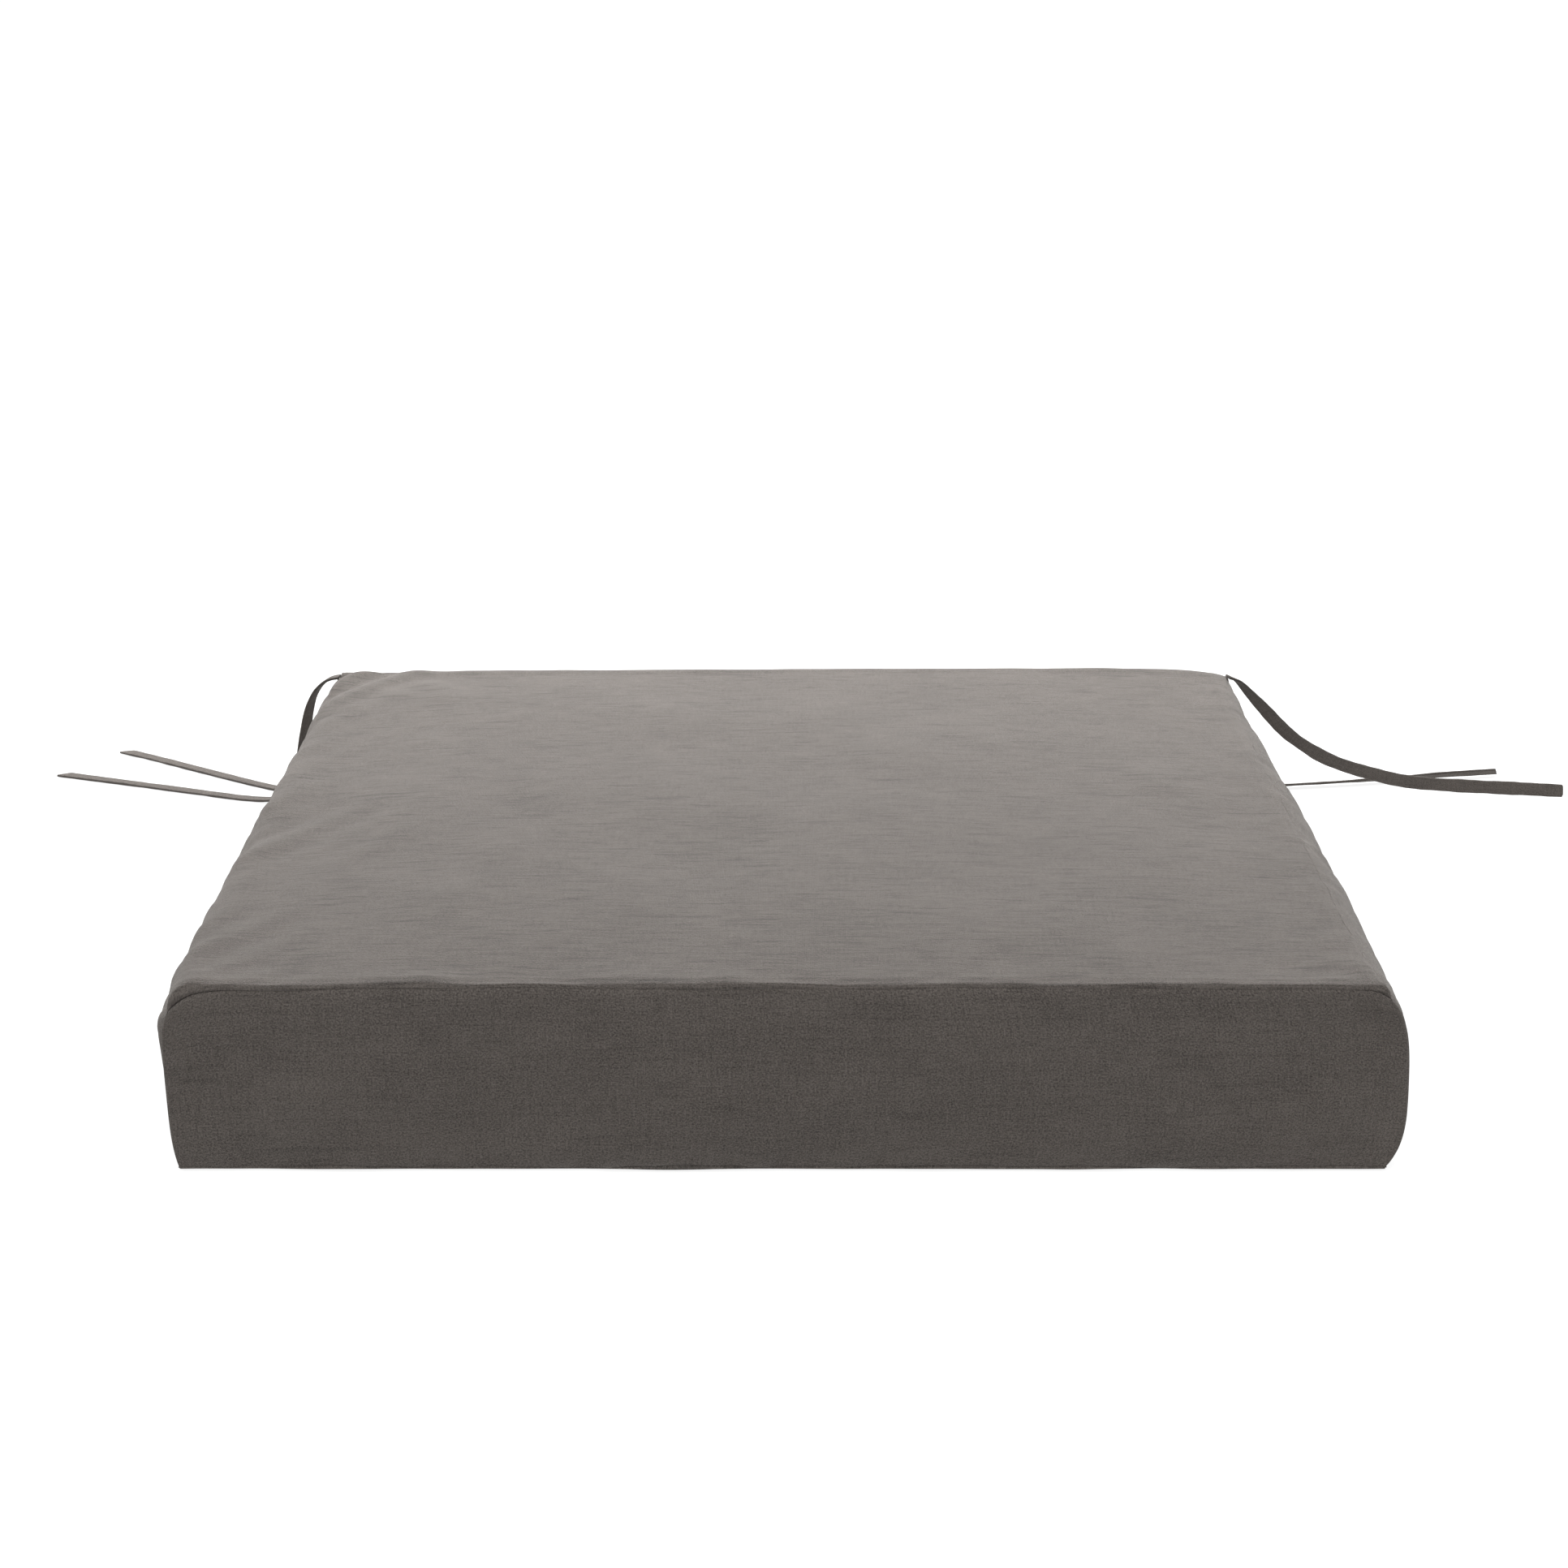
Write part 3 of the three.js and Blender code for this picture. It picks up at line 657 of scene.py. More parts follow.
def smoothed(field, reach):
    """The field averaged over reach samples each way."""
    kernel = bell(reach)
    for axis in (0, 1):
        width = [(reach, reach) if k == axis else (0, 0) for k in range(field.ndim)]
        padded = np.pad(field, width, mode="edge")
        field = np.apply_along_axis(lambda line: np.convolve(line, kernel, "valid"), axis, padded)
    return field


CLOTH_ROWS = 72
CLOTH_FRAMES = 16
CREASE_CELLS = 7  # the run's broader swelling is left out, and only what is finer than this is kept


def cloth_creases(P, a, b, fullness, ease, limit):
    """How far a short Cloth simulation of the panel, held at its seams, creases it, in millimetres.

    fullness (0 to 1 over the panel) says where the cloth is longer than its seam, by the share ease.
    """
    depth_share = np.linalg.norm(P[0, -1] - P[0, 0]) / np.linalg.norm(P[-1, 0] - P[0, 0])
    rows, cols = CLOTH_ROWS, int(CLOTH_ROWS * depth_share)
    fa, fb = np.linspace(0, 1, rows), np.linspace(0, 1, cols)
    coarse = np.stack([resampled(P[..., k], a, b, fa, fb) for k in range(3)], axis=-1)
    full = np.clip(resampled(fullness, a, b, fa, fb).ravel(), 0, 1)
    mesh = mesh_from("cloth_run", coarse.reshape(-1, 3), grid_faces(rows, cols))
    run_obj = bpy.data.objects.new("cloth_run", mesh)
    scene.collection.objects.link(run_obj)
    held = run_obj.vertex_groups.new(name="held")
    slack = run_obj.vertex_groups.new(name="slack")
    for i in range(rows):
        for j in range(cols):
            if i in (0, rows - 1) or j in (0, cols - 1):
                held.add([i * cols + j], 1.0, "REPLACE")
            slack.add([i * cols + j], float(full[i * cols + j]), "REPLACE")
    cloth_mod = run_obj.modifiers.new("cloth", "CLOTH")
    rules = cloth_mod.settings
    rules.quality = 6
    rules.mass = 0.25
    rules.tension_stiffness = rules.compression_stiffness = 18.0
    rules.shear_stiffness = 6.0
    rules.bending_stiffness = 0.35
    rules.vertex_group_mass = "held"
    rules.vertex_group_shrink = "slack"
    rules.shrink_min = 0.0
    rules.shrink_max = -ease
    rules.use_pressure = True
    rules.uniform_pressure_force = 0.6
    rules.effector_weights.gravity = 0.0
    cloth_mod.collision_settings.use_collision = False
    cloth_mod.point_cache.frame_start = 1
    cloth_mod.point_cache.frame_end = CLOTH_FRAMES
    for step in range(1, CLOTH_FRAMES + 1):
        scene.frame_set(step)
    ready = run_obj.evaluated_get(bpy.context.evaluated_depsgraph_get())
    flat = np.empty(rows * cols * 3, dtype=np.float32)
    ready.data.vertices.foreach_get("co", flat)
    moved = flat.reshape(rows, cols, 3) / MM - coarse
    bpy.data.objects.remove(run_obj)
    bpy.data.meshes.remove(mesh)
    scene.frame_set(1)
    outward = normals_of(coarse)
    lift = np.sum(moved * outward, axis=-1)
    lift = lift - smoothed(lift, CREASE_CELLS)
    lift = limit * np.tanh(lift / limit)
    from_sides, from_ends = np.minimum(fa, 1 - fa) * rows, np.minimum(fb, 1 - fb) * cols
    border = np.minimum(from_sides[:, None], from_ends[None, :])
    lift *= smoothstep(border / 2.0)
    return resampled(lift, fa, fb, a, b)


def add_panel(name, points, uv, flip, replaces, finish, thickness):
    """One panel of the cover as a thin sheet, thickness in millimetres."""
    rows, cols = points.shape[:2]
    faces = grid_faces(rows, cols, flip)
    mesh = mesh_from(name, points.reshape(-1, 3), faces, uv.reshape(-1, 2))
    obj = new_object(name, mesh)
    mesh.materials.append(finish)
    solid = obj.modifiers.new("thickness", "SOLIDIFY")
    solid.thickness = thickness * MM
    solid.offset = -1.0
    solid.use_even_offset = False
    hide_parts(replaces)


# ------ top panel

def gathers(along, inward, seed, wavelength, amplitude, reach, slant=0.0):
    """Puckers that run in from a seam and fade. along and inward are in millimetres."""
    shifted = along + slant * inward
    ridge = np.zeros_like(shifted)
    rng = np.random.default_rng(seed + 5)
    for _ in range(14):
        size = wavelength * math.exp(rng.normal(0.0, 0.3))
        phase = rng.uniform(0, 2 * math.pi)
        ridge = ridge + np.sin(2 * math.pi * shifted / size + phase)
    ridge = ridge / math.sqrt(7.0)
    fade = np.exp(-(inward / reach) ** 1.25)
    return amplitude * ridge * fade


def make_top():
    na, nb = 190, 176
    a = dense_ends(na, 2 * HALF_X)
    b = dense_ends(nb, 2 * HALF_Y)
    s, v = 2 * a - 1, 2 * b - 1
    P = coons(top_front(s), top_rear(s), top_side(True, v), top_side(False, v), a, b)
    S, V = np.meshgrid(s, v, indexing="ij")
    X, Y = P[..., 0], P[..., 1]
    d_left, d_right = (1 + S) * HALF_X, (1 - S) * HALF_X
    d_front, d_rear = (1 + V) * HALF_Y, (1 - V) * HALF_Y

    seam_left = top_side(True, v)[None, :, 2]
    seam_right = top_side(False, v)[None, :, 2]
    seam_front = top_front(s)[:, None, 2]
    seam_rear = top_rear(s)[:, None, 2]
    level = SEAM_Z - 0.1 + 5.0 * levelled(S, 5) ** 1.3 * (1 - np.clip(-V, 0, 1) ** 5) ** 1.1
    level = level + 0.9 * np.exp(-((S - 0.15) ** 2 + (V - 0.25) ** 2) / 0.5)
    rear_share = np.clip(V, 0, 1) ** 5
    shoulder = seam_rear + 1.4 * (1 - np.exp(-(1 - np.abs(S)) * HALF_X / 20.0))
    level = level * (1 - rear_share) + shoulder * rear_share

    # Where the seam hangs below the flat of the top, the cloth rolls over the edge to reach it.
    def roll(d, seam, radius):
        f = np.clip(d / radius, 0.0, 1.0)
        return (level - seam) * (1.0 - np.sqrt(1.0 - (1.0 - f) ** 2))

    drop_l = roll(d_left, seam_left, 13.0)
    drop_r = roll(d_right, seam_right, 5.0)
    drop_f = roll(d_front, seam_front, 8.0)
    drop_b = roll(d_rear, seam_rear, 5.0)
    Z = level - np.maximum.reduce([drop_l, drop_r, drop_f, drop_b, np.zeros_like(level)])
    for d, seam, edge in ((d_left, seam_left, Z[:1]), (d_right, seam_right, Z[-1:]),
                          (d_front, seam_front, Z[:, :1]), (d_rear, seam_rear, Z[:, -1:])):
        Z = Z + (seam - edge) * np.exp(-(d / 4.0) ** 2)
    # The left edge is full: the cloth goes out past the seam before it turns under.
    X = X - 1.6 * np.exp(-((d_left - 6.0) / 6.0) ** 2) * levelled(V, 8)

    P = np.stack([X, Y, Z], axis=-1)
    n = normals_of(P)
    n *= np.sign(n[..., 2:3])
    bump = np.zeros_like(X)
    broad = Ripple(21, 120.0, 0.4)
    inland = smoothstep(np.minimum(d_rear, d_right) / 30.0)
    bump += 0.50 * broad(X, Y) * (0.3 + 0.7 * inland)
    bump += 0.14 * Ripple(22, 38.0, 0.4)(X, Y) * (0.3 + 0.7 * inland)
    patchy = 0.55 + 0.45 * Ripple(33, 140.0, 0.3)(Y, X * 0.3)
    bump += gathers(Y, d_left, 31, 60.0, 1.0, 46.0, slant=-1.6) * smoothstep(d_left / 6.0 + 0.25) * patchy
    bump += gathers(Y, d_left, 35, 24.0, 0.22, 17.0, slant=-0.8) * patchy
    bump += gathers(Y, d_right, 41, 34.0, 0.20, 20.0, slant=0.4)
    bump += gathers(Y, d_right, 45, 13.0, 0.08, 7.0)
    bump += gathers(X, d_front, 51, 38.0, 0.16, 16.0, slant=0.2)
    bump += gathers(X, d_front, 55, 12.0, 0.05, 5.0)
    bump += gathers(X, d_rear, 61, 60.0, 0.10, 16.0)
    near = np.minimum.reduce([d_left, d_right, d_front, d_rear])
    bump *= 1.0 - 0.75 * np.exp(-(near / 3.0) ** 2)
    bump += tuck(near, 1.0, 1.5)
    # Seam allowance lying under the top, a faint step 7.5 mm in from the front, right and rear seams.
    for d in (d_front, d_right, d_rear):
        bump += 0.12 * np.exp(-((d - 7.5) / 2.2) ** 2)
    # Pulls that run in from the corners.
    for cx, cy, angle in ((-1, -1, 0.9), (1, -1, 2.3), (-1, 1, -0.8), (1, 1, -2.4)):
        dx, dy = X - cx * HALF_X, Y - cy * HALF_Y
        along = dx * math.cos(angle) + dy * math.sin(angle)
        cross = -dx * math.sin(angle) + dy * math.cos(angle)
        bump += 0.5 * np.exp(-(cross / (5.0 + 0.12 * np.abs(along))) ** 2) * np.exp(-np.abs(along) / 30.0)
    P = P + n * bump[..., None]
    full = np.exp(-d_left / 45.0) + 0.25 * np.exp(-np.minimum(d_right, d_front) / 25.0)
    P = P + n * cloth_creases(P, a, b, full, ease=0.03, limit=1.6)[..., None]
    uv = np.stack([X, Y], axis=-1)
    uv[..., 0] += np.sign(S) * drop_l * 0.4
    return P, uv


top_points, top_uv = make_top()


# ------ side, front and rear panels

def boxing(low, high, left, right, na, nb, span, rise, outward, bulge, seed, extras=None):
    """One upright panel. low and high are the seam lines below and above it."""
    a, b = dense_ends(na, span), dense_ends(nb, rise, reach=9.0)
    P = coons(low(2 * a - 1), high(2 * a - 1), left(b), right(b), a, b)
    A, B = np.meshgrid(2 * a - 1, b, indexing="ij")
    d_top, d_low = (1 - B) * rise, B * rise
    d_ends = (1 - np.abs(A)) * span / 2
    out = np.array(outward, float)
    P = P + out * (bulge * barrel(B) ** 0.85 * levelled(A, 5))[..., None]
    along = A * span / 2
    bump = 0.45 * Ripple(seed, 90.0, 0.4, stretch=(1.0, 0.8))(along, d_low)
    bump += 0.13 * Ripple(seed + 1, 30.0, 0.4)(along, d_low)
    bump += gathers(along, d_top, seed + 2, 32.0, 0.18, 16.0, slant=0.3) * smoothstep(d_top / 8.0 + 0.2)
    bump += gathers(along, d_top, seed + 3, 12.0, 0.04, 5.0)
    bump += gathers(along, d_low, seed + 4, 30.0, 0.40, 16.0, slant=-0.3)
    bump += gathers(along, d_low, seed + 7, 12.0, 0.14, 6.0)
    # The seam allowance lies behind the panel and ends about 10 mm below the top seam.
    bump += 0.30 * smoothstep((11.5 - d_top) / 2.2) * smoothstep(d_top / 4.0)
    bump += 0.18 * np.exp(-((d_low - 9.0) / 2.0) ** 2)
    bump += 0.25 * np.exp(-((d_ends - 8.0) / 2.6) ** 2)
    if extras is not None:
        bump += extras(along, d_top)
    near = np.minimum(np.minimum(d_top, d_low), d_ends)
    bump *= 1.0 - 0.75 * np.exp(-(near / 3.0) ** 2)
    bump += tuck(d_top, 1.5, 1.8) + tuck(d_ends, 0.8, 1.2) + tuck(d_low, 0.3, 1.0)
    P = P + out * bump[..., None]
    P[..., 2] = np.maximum(P[..., 2], LOWEST_CLOTH)
    return P, np.stack([along, d_low], axis=-1)


def side_boxing(left, rise, bulge, seed, wavelength, amplitude, reach, slant):
    """The panel up the left or the right side, with its own gathers below the top seam."""
    def extras(along, d_top):
        return gathers(along, d_top, seed + 6, wavelength, amplitude, reach, slant=slant)

    return boxing(lambda s: bottom_line("left" if left else "right", s), lambda s: top_side(left, s),
                  lambda t: corner_line(left, True, t), lambda t: corner_line(left, False, t),
                  180, 54, 2 * HALF_Y, rise, (-1 if left else 1, 0, 0), bulge, seed, extras)


front_points, front_uv = boxing(
    lambda s: bottom_line("front", s), top_front,
    lambda t: corner_line(True, True, t), lambda t: corner_line(False, True, t),
    190, 56, 2 * HALF_X, 82.0, (0, -1, 0), 5.0, 101)
left_points, left_uv = side_boxing(True, 76.0, 11.0, 131, 30.0, 0.6, 26.0, 0.5)
right_points, right_uv = side_boxing(False, 82.0, 9.5, 161, 34.0, 0.5, 22.0, -0.4)


# ------ rear strips with the zip opening

ZIP_Z = 42.0
SLOT_HALF = 5.6
SLOT_END = 206.0
CLOSED_HALF = 0.35  # half the gap between the two folds beyond the slot
STRIP_HALF = 255.0


def rear_strip(upper, seed):
    """One strip of the rear, from its seam to the fold beside the zip, with its hem turned in."""
    na, nb = 200, 34
    a = dense_ends(na, 2 * HALF_X, reach=10.0)
    b = dense_ends(nb, 36.0, reach=6.0)
    s = 2 * a - 1
    x = STRIP_HALF * s
    half = CLOSED_HALF + (SLOT_HALF - CLOSED_HALF) * smoothstep((SLOT_END - 1.0 - np.abs(x)) / 4.5)
    t_mid_left = (ZIP_Z - BOTTOM_Z) / (82.0 - BOTTOM_Z)
    end_l = corner_line(True, False, t_mid_left)
    end_r = corner_line(False, False, t_mid_left)
    bow = 0.8 * levelled(s, 6)
    fold = np.stack([end_l[0] * (1 - s) / 2 + end_r[0] * (1 + s) / 2, HALF_Y + bow,
                     ZIP_Z + (half if upper else -half)], axis=-1)
    if upper:
        low, high = fold, top_rear(s)
        left = corner_line(True, False, t_mid_left + (1 - t_mid_left) * b)
        right = corner_line(False, False, t_mid_left + (1 - t_mid_left) * b)
    else:
        low, high = bottom_line("rear", s), fold
        left = corner_line(True, False, t_mid_left * b)
        right = corner_line(False, False, t_mid_left * b)
    low[0], low[-1], high[0], high[-1] = left[0], right[0], left[-1], right[-1]
    P = coons(low, high, left, right, a, b)
    A, B = np.meshgrid(s, b, indexing="ij")
    rise = 40.0
    d_fold = (B if upper else 1 - B) * rise
    d_seam = rise - d_fold
    d_ends = (1 - np.abs(A)) * HALF_X
    along = A * HALF_X
    bump = 0.30 * Ripple(seed, 70.0, 0.4)(along, B * rise) * smoothstep(d_fold / 12.0)
    bump += gathers(along, d_fold, seed + 1, 14.0, 0.10, 7.0)
    bump += gathers(along, d_seam, seed + 2, 28.0, 0.30, 14.0)
    stitched = smoothstep((SLOT_END + 3.0 - np.abs(along)) / 8.0)
    bump += -0.35 * np.exp(-((d_fold - 4.0) / 1.0) ** 2) * stitched
    bump += 0.22 * np.exp(-((d_seam - 8.0) / 2.4) ** 2)
    bump += tuck(np.minimum(d_seam, d_ends), 1.2, 2.0)
    bump += -0.5 * np.exp(-(d_fold / 0.9) ** 2)
    P[..., 1] += np.minimum(bump, 0.35)
    uv = np.stack([along, B * rise + (60.0 if upper else 0.0)], axis=-1)
    # The folded hem: the strip turns in at the fold and runs back behind itself.
    edge = P[:, 0] if upper else P[:, -1]
    sign = 1.0 if upper else -1.0
    hem = []
    for k in range(1, 7):
        angle = math.pi * k / 6.0
        row = edge.copy()
        row[:, 1] -= 0.62 * (1 - math.cos(angle))
        row[:, 2] -= sign * 0.45 * math.sin(angle)
        hem.append(row)
    for k in range(1, 4):
        row = hem[5].copy()
        row[:, 2] += sign * 1.0 * k
        hem.append(row)
    hem = np.stack(hem, axis=1)
    hem_uv = np.stack([np.repeat(along[:, :1], 9, axis=1),
                       np.repeat(uv[:, :1, 1] if upper else uv[:, -1:, 1], 9, axis=1)
                       - sign * 0.6 * np.arange(1, 10)[None, :]], axis=-1)
    if upper:
        P = np.concatenate([hem[:, ::-1], P], axis=1)
        uv = np.concatenate([hem_uv[:, ::-1], uv], axis=1)
    else:
        P = np.concatenate([P, hem], axis=1)
        uv = np.concatenate([uv, hem_uv], axis=1)
    P[..., 2] = np.maximum(P[..., 2], LOWEST_CLOTH)
    return P, uv


upper_points, upper_uv = rear_strip(True, 201)
lower_points, lower_uv = rear_strip(False, 211)


# ------ bottom panel

def make_bottom():
    na, nb = 130, 124
    a, b = dense_ends(na, 2 * HALF_X, reach=7.0), dense_ends(nb, 2 * HALF_Y, reach=7.0)
    s, v = 2 * a - 1, 2 * b - 1
    P = coons(bottom_line("front", s), bottom_line("rear", s),
              bottom_line("left", v), bottom_line("right", v), a, b)
    S, V = np.meshgrid(s, v, indexing="ij")
    X, Y = P[..., 0], P[..., 1]
    d = np.minimum.reduce([(1 + S) * 255.4, (1 - S) * 255.4, (1 + V) * HALF_Y, (1 - V) * HALF_Y])
    f = np.clip(1.0 - d / 4.5, 0.0, 1.0)
    seam_z = P[..., 2]
    floor_z = 0.15 + 0.10 * (1 + Ripple(301, 60.0, 0.4)(X, Y))
    Z = floor_z + (seam_z - floor_z) * (1 - np.sqrt(1 - f ** 2))
    out = np.exp(-((d - 1.6) / 1.3) ** 2)
    X = X + np.sign(S) * 0.5 * out * (np.abs(S) > 0.985)
    Y = Y + np.sign(V) * 0.5 * out * (np.abs(V) > 0.985)
    Z = np.maximum(Z, 0.1)
    return np.stack([X, Y, Z], axis=-1), np.stack([X, Y], axis=-1)


bottom_points, bottom_uv = make_bottom()


# ------ filling

def rounded_block(name, low, high, radius, cuts, noise, seed, material):
    """A soft-edged block between two corners, in millimetres."""
    mesh = bpy.data.meshes.new(name)
    bm = bmesh.new()
    bmesh.ops.create_cube(bm, size=2.0)
    bmesh.ops.subdivide_edges(bm, edges=bm.edges[:], cuts=cuts, use_grid_fill=True)
    low, high = np.array(low, float), np.array(high, float)
    mid, half = (low + high) / 2, (high - low) / 2
    wave = Ripple(seed, 60.0, 0.5)
    for vert in bm.verts:
        p = np.array(vert.co) * half
        core = np.clip(p, -(half - radius), half - radius)
        away = p - core
        reach = np.linalg.norm(away)
        if reach > 1e-6:
            away = away / reach * min(reach, radius)
        p = core + away
        n = away / radius if reach > 1e-6 else p * 0
        p = p + n * noise * float(wave(p[0] + 0.4 * p[2], p[1] - 0.3 * p[2]))
        vert.co = Vector((mid + p) * MM)
    bm.to_mesh(mesh)
    bm.free()
    mesh.polygons.foreach_set("use_smooth", [True] * len(mesh.polygons))
    mesh.materials.append(material)
    return new_object(name, mesh)


foam = rounded_block("foam_slab", (-246, -243, 7.5), (245, 238, 75.5), 4.0, 22, 0.35, 401, foam_mat)
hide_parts("foam_core")


UPPER_EDGE = 0.0428  # metres: where each blanket stops beside the zip
LOWER_EDGE = 0.0412


def wadding(name, upper, seed):
    """A blanket of fibre over one half of the foam, down to the zip's height."""
    block = rounded_block(name, (-249.0, -245.6, 5.0), (248.0, 240.4, 78.2), 7.0, 44, 0.25, seed, fibre_mat)
    bm = bmesh.new()
    bm.from_mesh(block.data)
    gone = [f for f in bm.faces if (f.calc_center_median().z < UPPER_EDGE) == upper]
    bmesh.ops.delete(bm, geom=gone, context="FACES")
    edge_z = UPPER_EDGE if upper else LOWER_EDGE
    for edge in [e for e in bm.edges if e.is_boundary]:
        for vert in edge.verts:
            vert.co.z = edge_z
    bm.to_mesh(block.data)
    bm.free()
    solid = block.modifiers.new("thickness", "SOLIDIFY")
    solid.thickness = 0.0019
    solid.offset = -1.0
    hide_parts("fibre_wrap_upper" if upper else "fibre_wrap_lower")


wadding("fibre_blanket_upper", True, 411)
wadding("fibre_blanket_lower", False, 421)


# ------ the cover's panels

# Name, points, UVs, whether the faces are flipped, CAD solid, flat size in metres, thickness.
BOXING_PANELS = (
    ("cover_front", front_points, front_uv, True, "front_boxing", (0.512, 0.086), 1.1),
    ("cover_left", left_points, left_uv, False, "left_boxing", (0.508, 0.086), 1.1),
    ("cover_right", right_points, right_uv, True, "right_boxing", (0.508, 0.088), 1.1),
    ("cover_rear_upper", upper_points, upper_uv, False, "rear_boxing_upper", (0.512, 0.045), 0.5),
    ("cover_rear_lower", lower_points, lower_uv, False, "rear_boxing_lower", (0.512, 0.045), 0.5),
)
add_panel("cover_top", top_points, top_uv, True, "top_panel",
          cloth, 1.1)
for name, points, uv, flip, solid, flat, thickness in BOXING_PANELS:
    add_panel(name, points, uv, flip, solid, cloth_boxing, thickness)
add_panel("cover_bottom", bottom_points, bottom_uv, False, "bottom_panel",
          cloth, 1.1)


# ------ stitching

STITCH_RINGS = 7
STITCH_SIDES = 6


def one_stitch(s, line, mid, length, radius, lift, verts, faces):
    """Adds one arched thread stitch centred at a distance mid along the line, sampled at distances s."""
    start = len(verts)
    for i in range(STITCH_RINGS):
        f = i / (STITCH_RINGS - 1)
        at = mid + (f - 0.5) * length
        p = np.array([np.interp(at, s, line[:, j]) for j in range(3)])
        q = np.array([np.interp(at + 0.2, s, line[:, j]) for j in range(3)])
        t = q - p
        t = t / max(1e-9, np.linalg.norm(t))
        side = np.cross(t, [0.0, 0.0, 1.0])
        if np.linalg.norm(side) < 0.1:
            side = np.cross(t, [0.0, 1.0, 0.0])
        side = side / np.linalg.norm(side)
        up = np.cross(side, t)
        arch = math.sin(math.pi * f)
        p = p + np.array(lift) * (arch - 0.6)
        r = radius * (0.45 + 0.55 * arch ** 0.5)
        for m in range(STITCH_SIDES):
            angle = 2 * math.pi * m / STITCH_SIDES
            verts.append(p + r * (math.cos(angle) * side + math.sin(angle) * up))
    last = start + (STITCH_RINGS - 1) * STITCH_SIDES
    for ring in range(start, last, STITCH_SIDES):
        for m in range(STITCH_SIDES):
            a, b = ring + m, ring + (m + 1) % STITCH_SIDES
            faces.append((a, b, b + STITCH_SIDES, a + STITCH_SIDES))
    faces.append(tuple(range(start, start + STITCH_SIDES))[::-1])
    faces.append(tuple(range(last, last + STITCH_SIDES)))


def stitch_mesh(name, lines, replaces, pitch=3.0, length=2.2, radius=0.28, lift=(0.0, 0.0, 0.0)):
    """A row of short thread stitches along each polyline, points in millimetres."""
    verts, faces = [], []
    for line in lines:
        curve = np.asarray(line, float)
        fine, total = even_steps(curve, max(8, int(len(curve) * 2)))
        s = np.linspace(0, total, len(fine))
        for k in range(int(total / pitch)):
            one_stitch(s, fine, (k + 0.5) * pitch, length, radius, lift, verts, faces)
    mesh = mesh_from(name, verts, faces)
    mesh.materials.append(thread_mat)
    obj = new_object(name, mesh)
    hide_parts(replaces)


def pulled_in(points, amount, rise=0.0):
    """Seam points moved towards the pad's middle."""
    p = np.asarray(points, float).copy()
    p[:, 0] -= np.sign(p[:, 0]) * amount * (np.abs(p[:, 0]) > 247.0)
    p[:, 1] -= np.sign(p[:, 1]) * amount * (np.abs(p[:, 1]) > 248.0)
    p[:, 2] += rise
    return p


run = np.linspace(-0.985, 0.985, 260)
stitch_mesh("stitches_top_seam",
            [pulled_in(top_front(run), 1.9, -1.5), pulled_in(top_side(False, run), 1.9, -1.5),
             pulled_in(top_rear(run), 1.9, -1.5), pulled_in(top_side(True, run), 1.9, -1.2)],
            "top_seam_thread")
stitch_mesh("stitches_bottom_seam",
            [pulled_in(bottom_line(edge, run), 1.3, 0.4) for edge in ("front", "right", "rear", "left")],
            "bottom_seam_thread")
rise = np.linspace(0.03, 0.97, 60)
for key, left, front in (("front_left", True, True), ("front_right", False, True),
                         ("rear_left", True, False), ("rear_right", False, False)):
    stitch_mesh("stitches_corner_" + key, [pulled_in(corner_line(left, front, rise), 1.3)],
                "corner_seam_thread_" + key)

zip_run = np.linspace(-SLOT_END - 4.0, SLOT_END + 4.0, 300)
for key, sign in (("upper", 1.0), ("lower", -1.0)):
    depth = HALF_Y + 0.8 * levelled(zip_run / STRIP_HALF, 6) - 0.02
    height = np.full_like(zip_run, ZIP_Z + sign * (SLOT_HALF + 4.0))
    row = np.stack([zip_run, depth, height], axis=-1)
    stitch_mesh("topstitching_zip_" + key, [row], "zip_stitching_" + key, pitch=3.2, length=2.5,
                radius=0.26, lift=(0.0, 0.30, 0.0))


# ------ carried-over CAD nodes

def repaint(name, material, bevel):
    """Gives a CAD solid its material and softens its edges, bevel in millimetres."""
    obj = nodes[name]
    obj.data.materials.clear()
    obj.data.materials.append(material)
    mod = obj.modifiers.new("edges", "BEVEL")
    mod.width = bevel * MM
    mod.segments = 2
    mod.limit_method = "ANGLE"
    mod.angle_limit = math.radians(35.0)


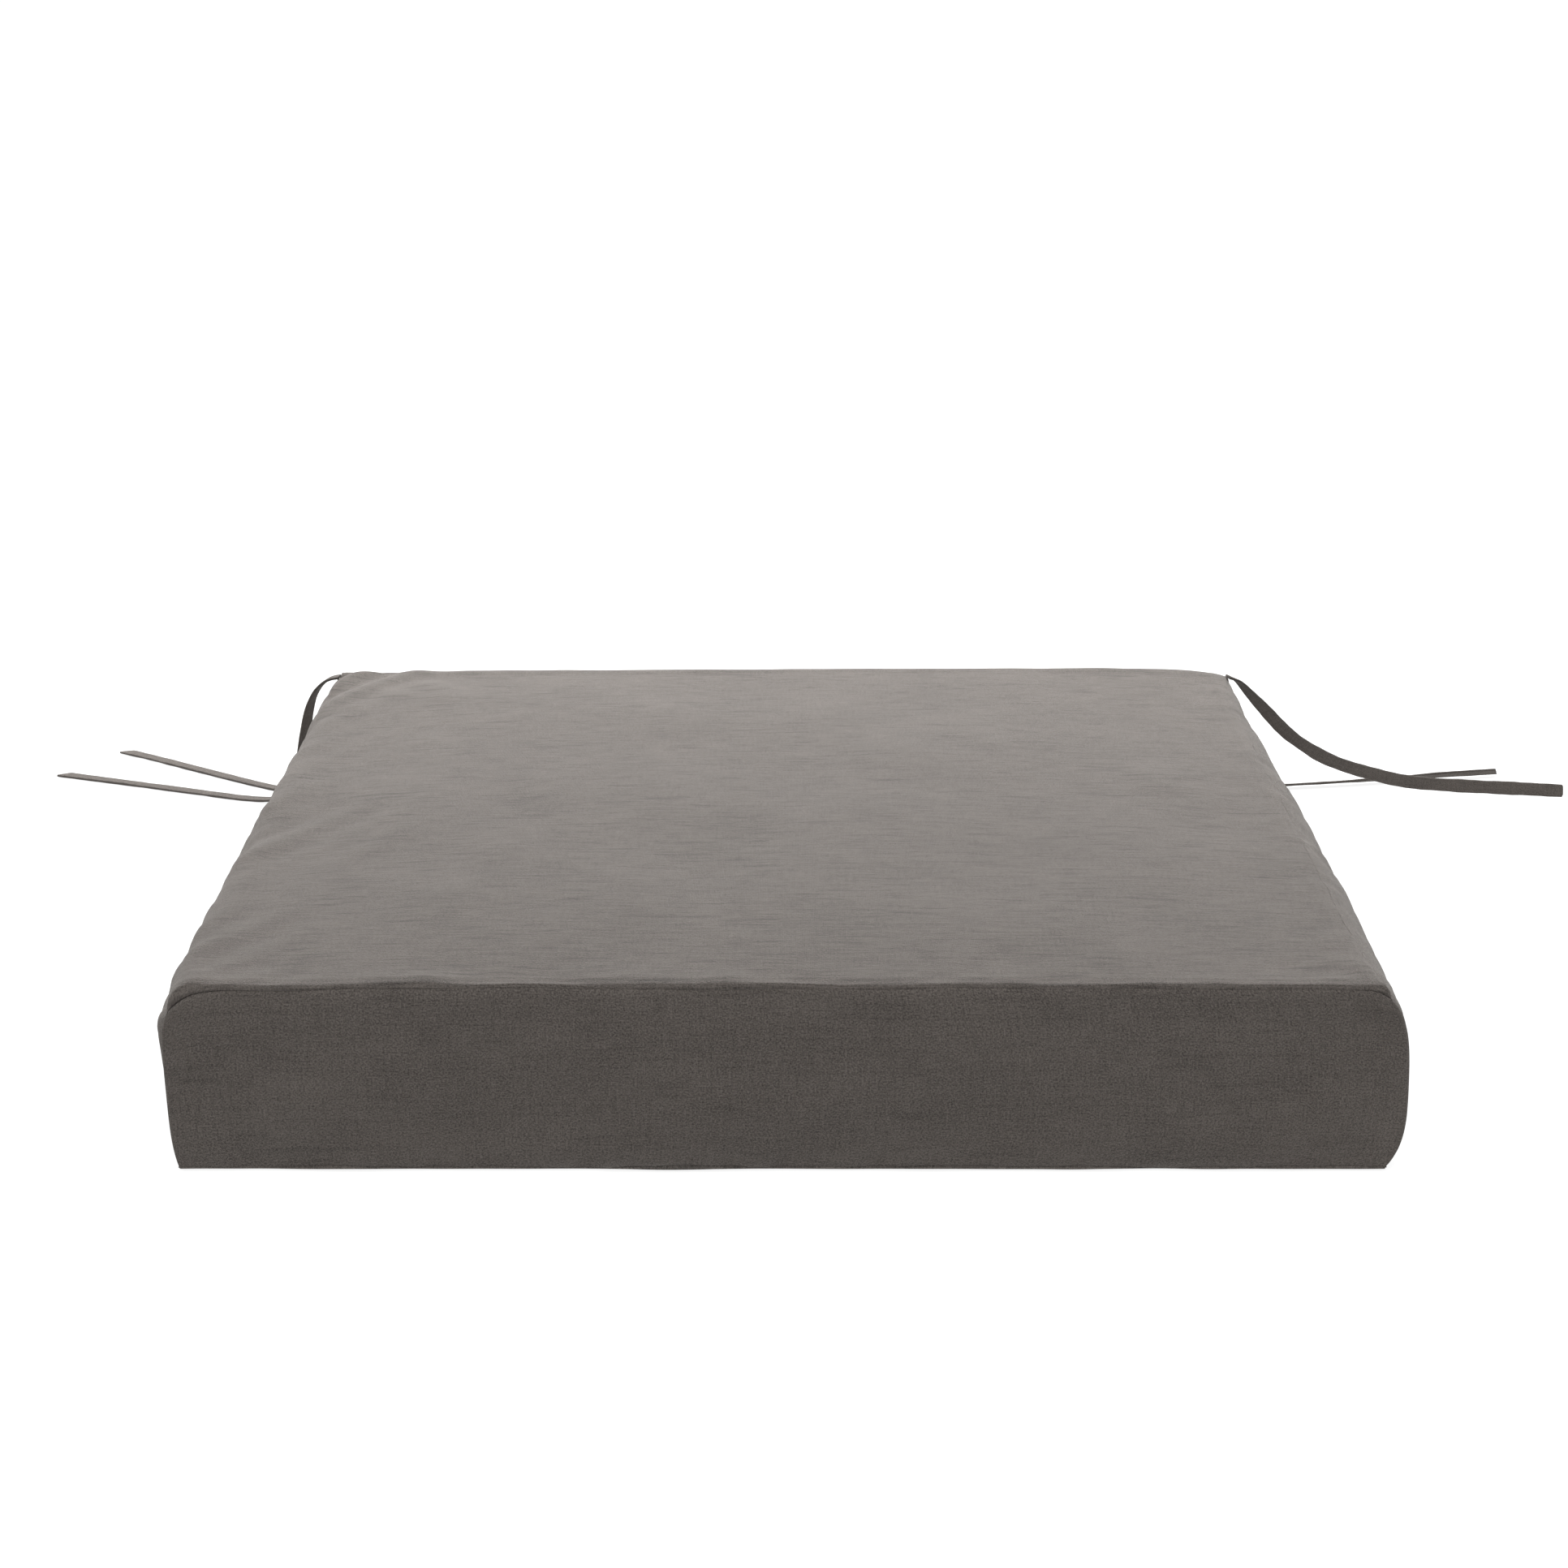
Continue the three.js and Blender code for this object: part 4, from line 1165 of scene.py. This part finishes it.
for row in ("upper", "lower"):
    repaint("zip_teeth_" + row, teeth_mat, 0.22)
    repaint("zip_tape_" + row, tape_mat, 0.15)
    repaint("zip_top_stop_" + row, metal_mat, 0.25)
repaint("zip_bottom_stop", metal_mat, 0.35)
repaint("zip_slider", metal_mat, 0.22)
repaint("zip_pull_tab", metal_mat, 0.25)


# ------ floor and light

def floor_material():
    n = Nodes("floor")
    place = n.place()
    haze = n.noise(place, scale=3.0, detail=2.0)
    colour = n.tint(haze, (0.17, 0.17, 0.17), (0.18, 0.18, 0.18))
    return n.finish(colour, 0.9, None, Specular_IOR_Level=0.1,
                    Emission_Color=(1.0, 1.0, 1.0, 1.0), Emission_Strength=0.87)


FLOOR_HALF = 200.0  # metres, so that its far edge lies past the camera's view
floor_mesh = bpy.data.meshes.new("floor")
floor_corners = [(x * FLOOR_HALF, y * FLOOR_HALF, 0) for x, y in ((-1, -1), (1, -1), (1, 1), (-1, 1))]
floor_mesh.from_pydata(floor_corners, [], [(0, 1, 2, 3)])
floor_mesh.materials.append(floor_material())
floor = bpy.data.objects.new("floor", floor_mesh)
scene.collection.objects.link(floor)


def area_light(name, place, aim, size, power):
    data = bpy.data.lights.new(name, "AREA")
    data.shape = "RECTANGLE"
    data.size, data.size_y = size
    data.energy = power
    obj = bpy.data.objects.new(name, data)
    obj.location = place
    direction = Vector(aim) - Vector(place)
    obj.rotation_euler = direction.to_track_quat("-Z", "Y").to_euler()
    scene.collection.objects.link(obj)


def sun_light(name, aim, strength, spread):
    data = bpy.data.lights.new(name, "SUN")
    data.energy = strength
    data.angle = math.radians(spread)
    obj = bpy.data.objects.new(name, data)
    obj.rotation_euler = Vector(aim).to_track_quat("-Z", "Y").to_euler()
    scene.collection.objects.link(obj)


sun_light("overhead", (0.03, 0.30, -1.0), 2.7, 40.0)
area_light("behind", (0.0, 0.95, 0.62), (0.0, 0.1, 0.08), (2.4, 0.3), 39.0)

world = bpy.data.worlds.new("studio")
world.use_nodes = True
background = world.node_tree.nodes["Background"]
background.inputs["Color"].default_value = (1.0, 1.0, 1.0, 1.0)
background.inputs["Strength"].default_value = 0.24
scene.world = world
scene.view_settings.view_transform = "Standard"
scene.view_settings.look = "None"
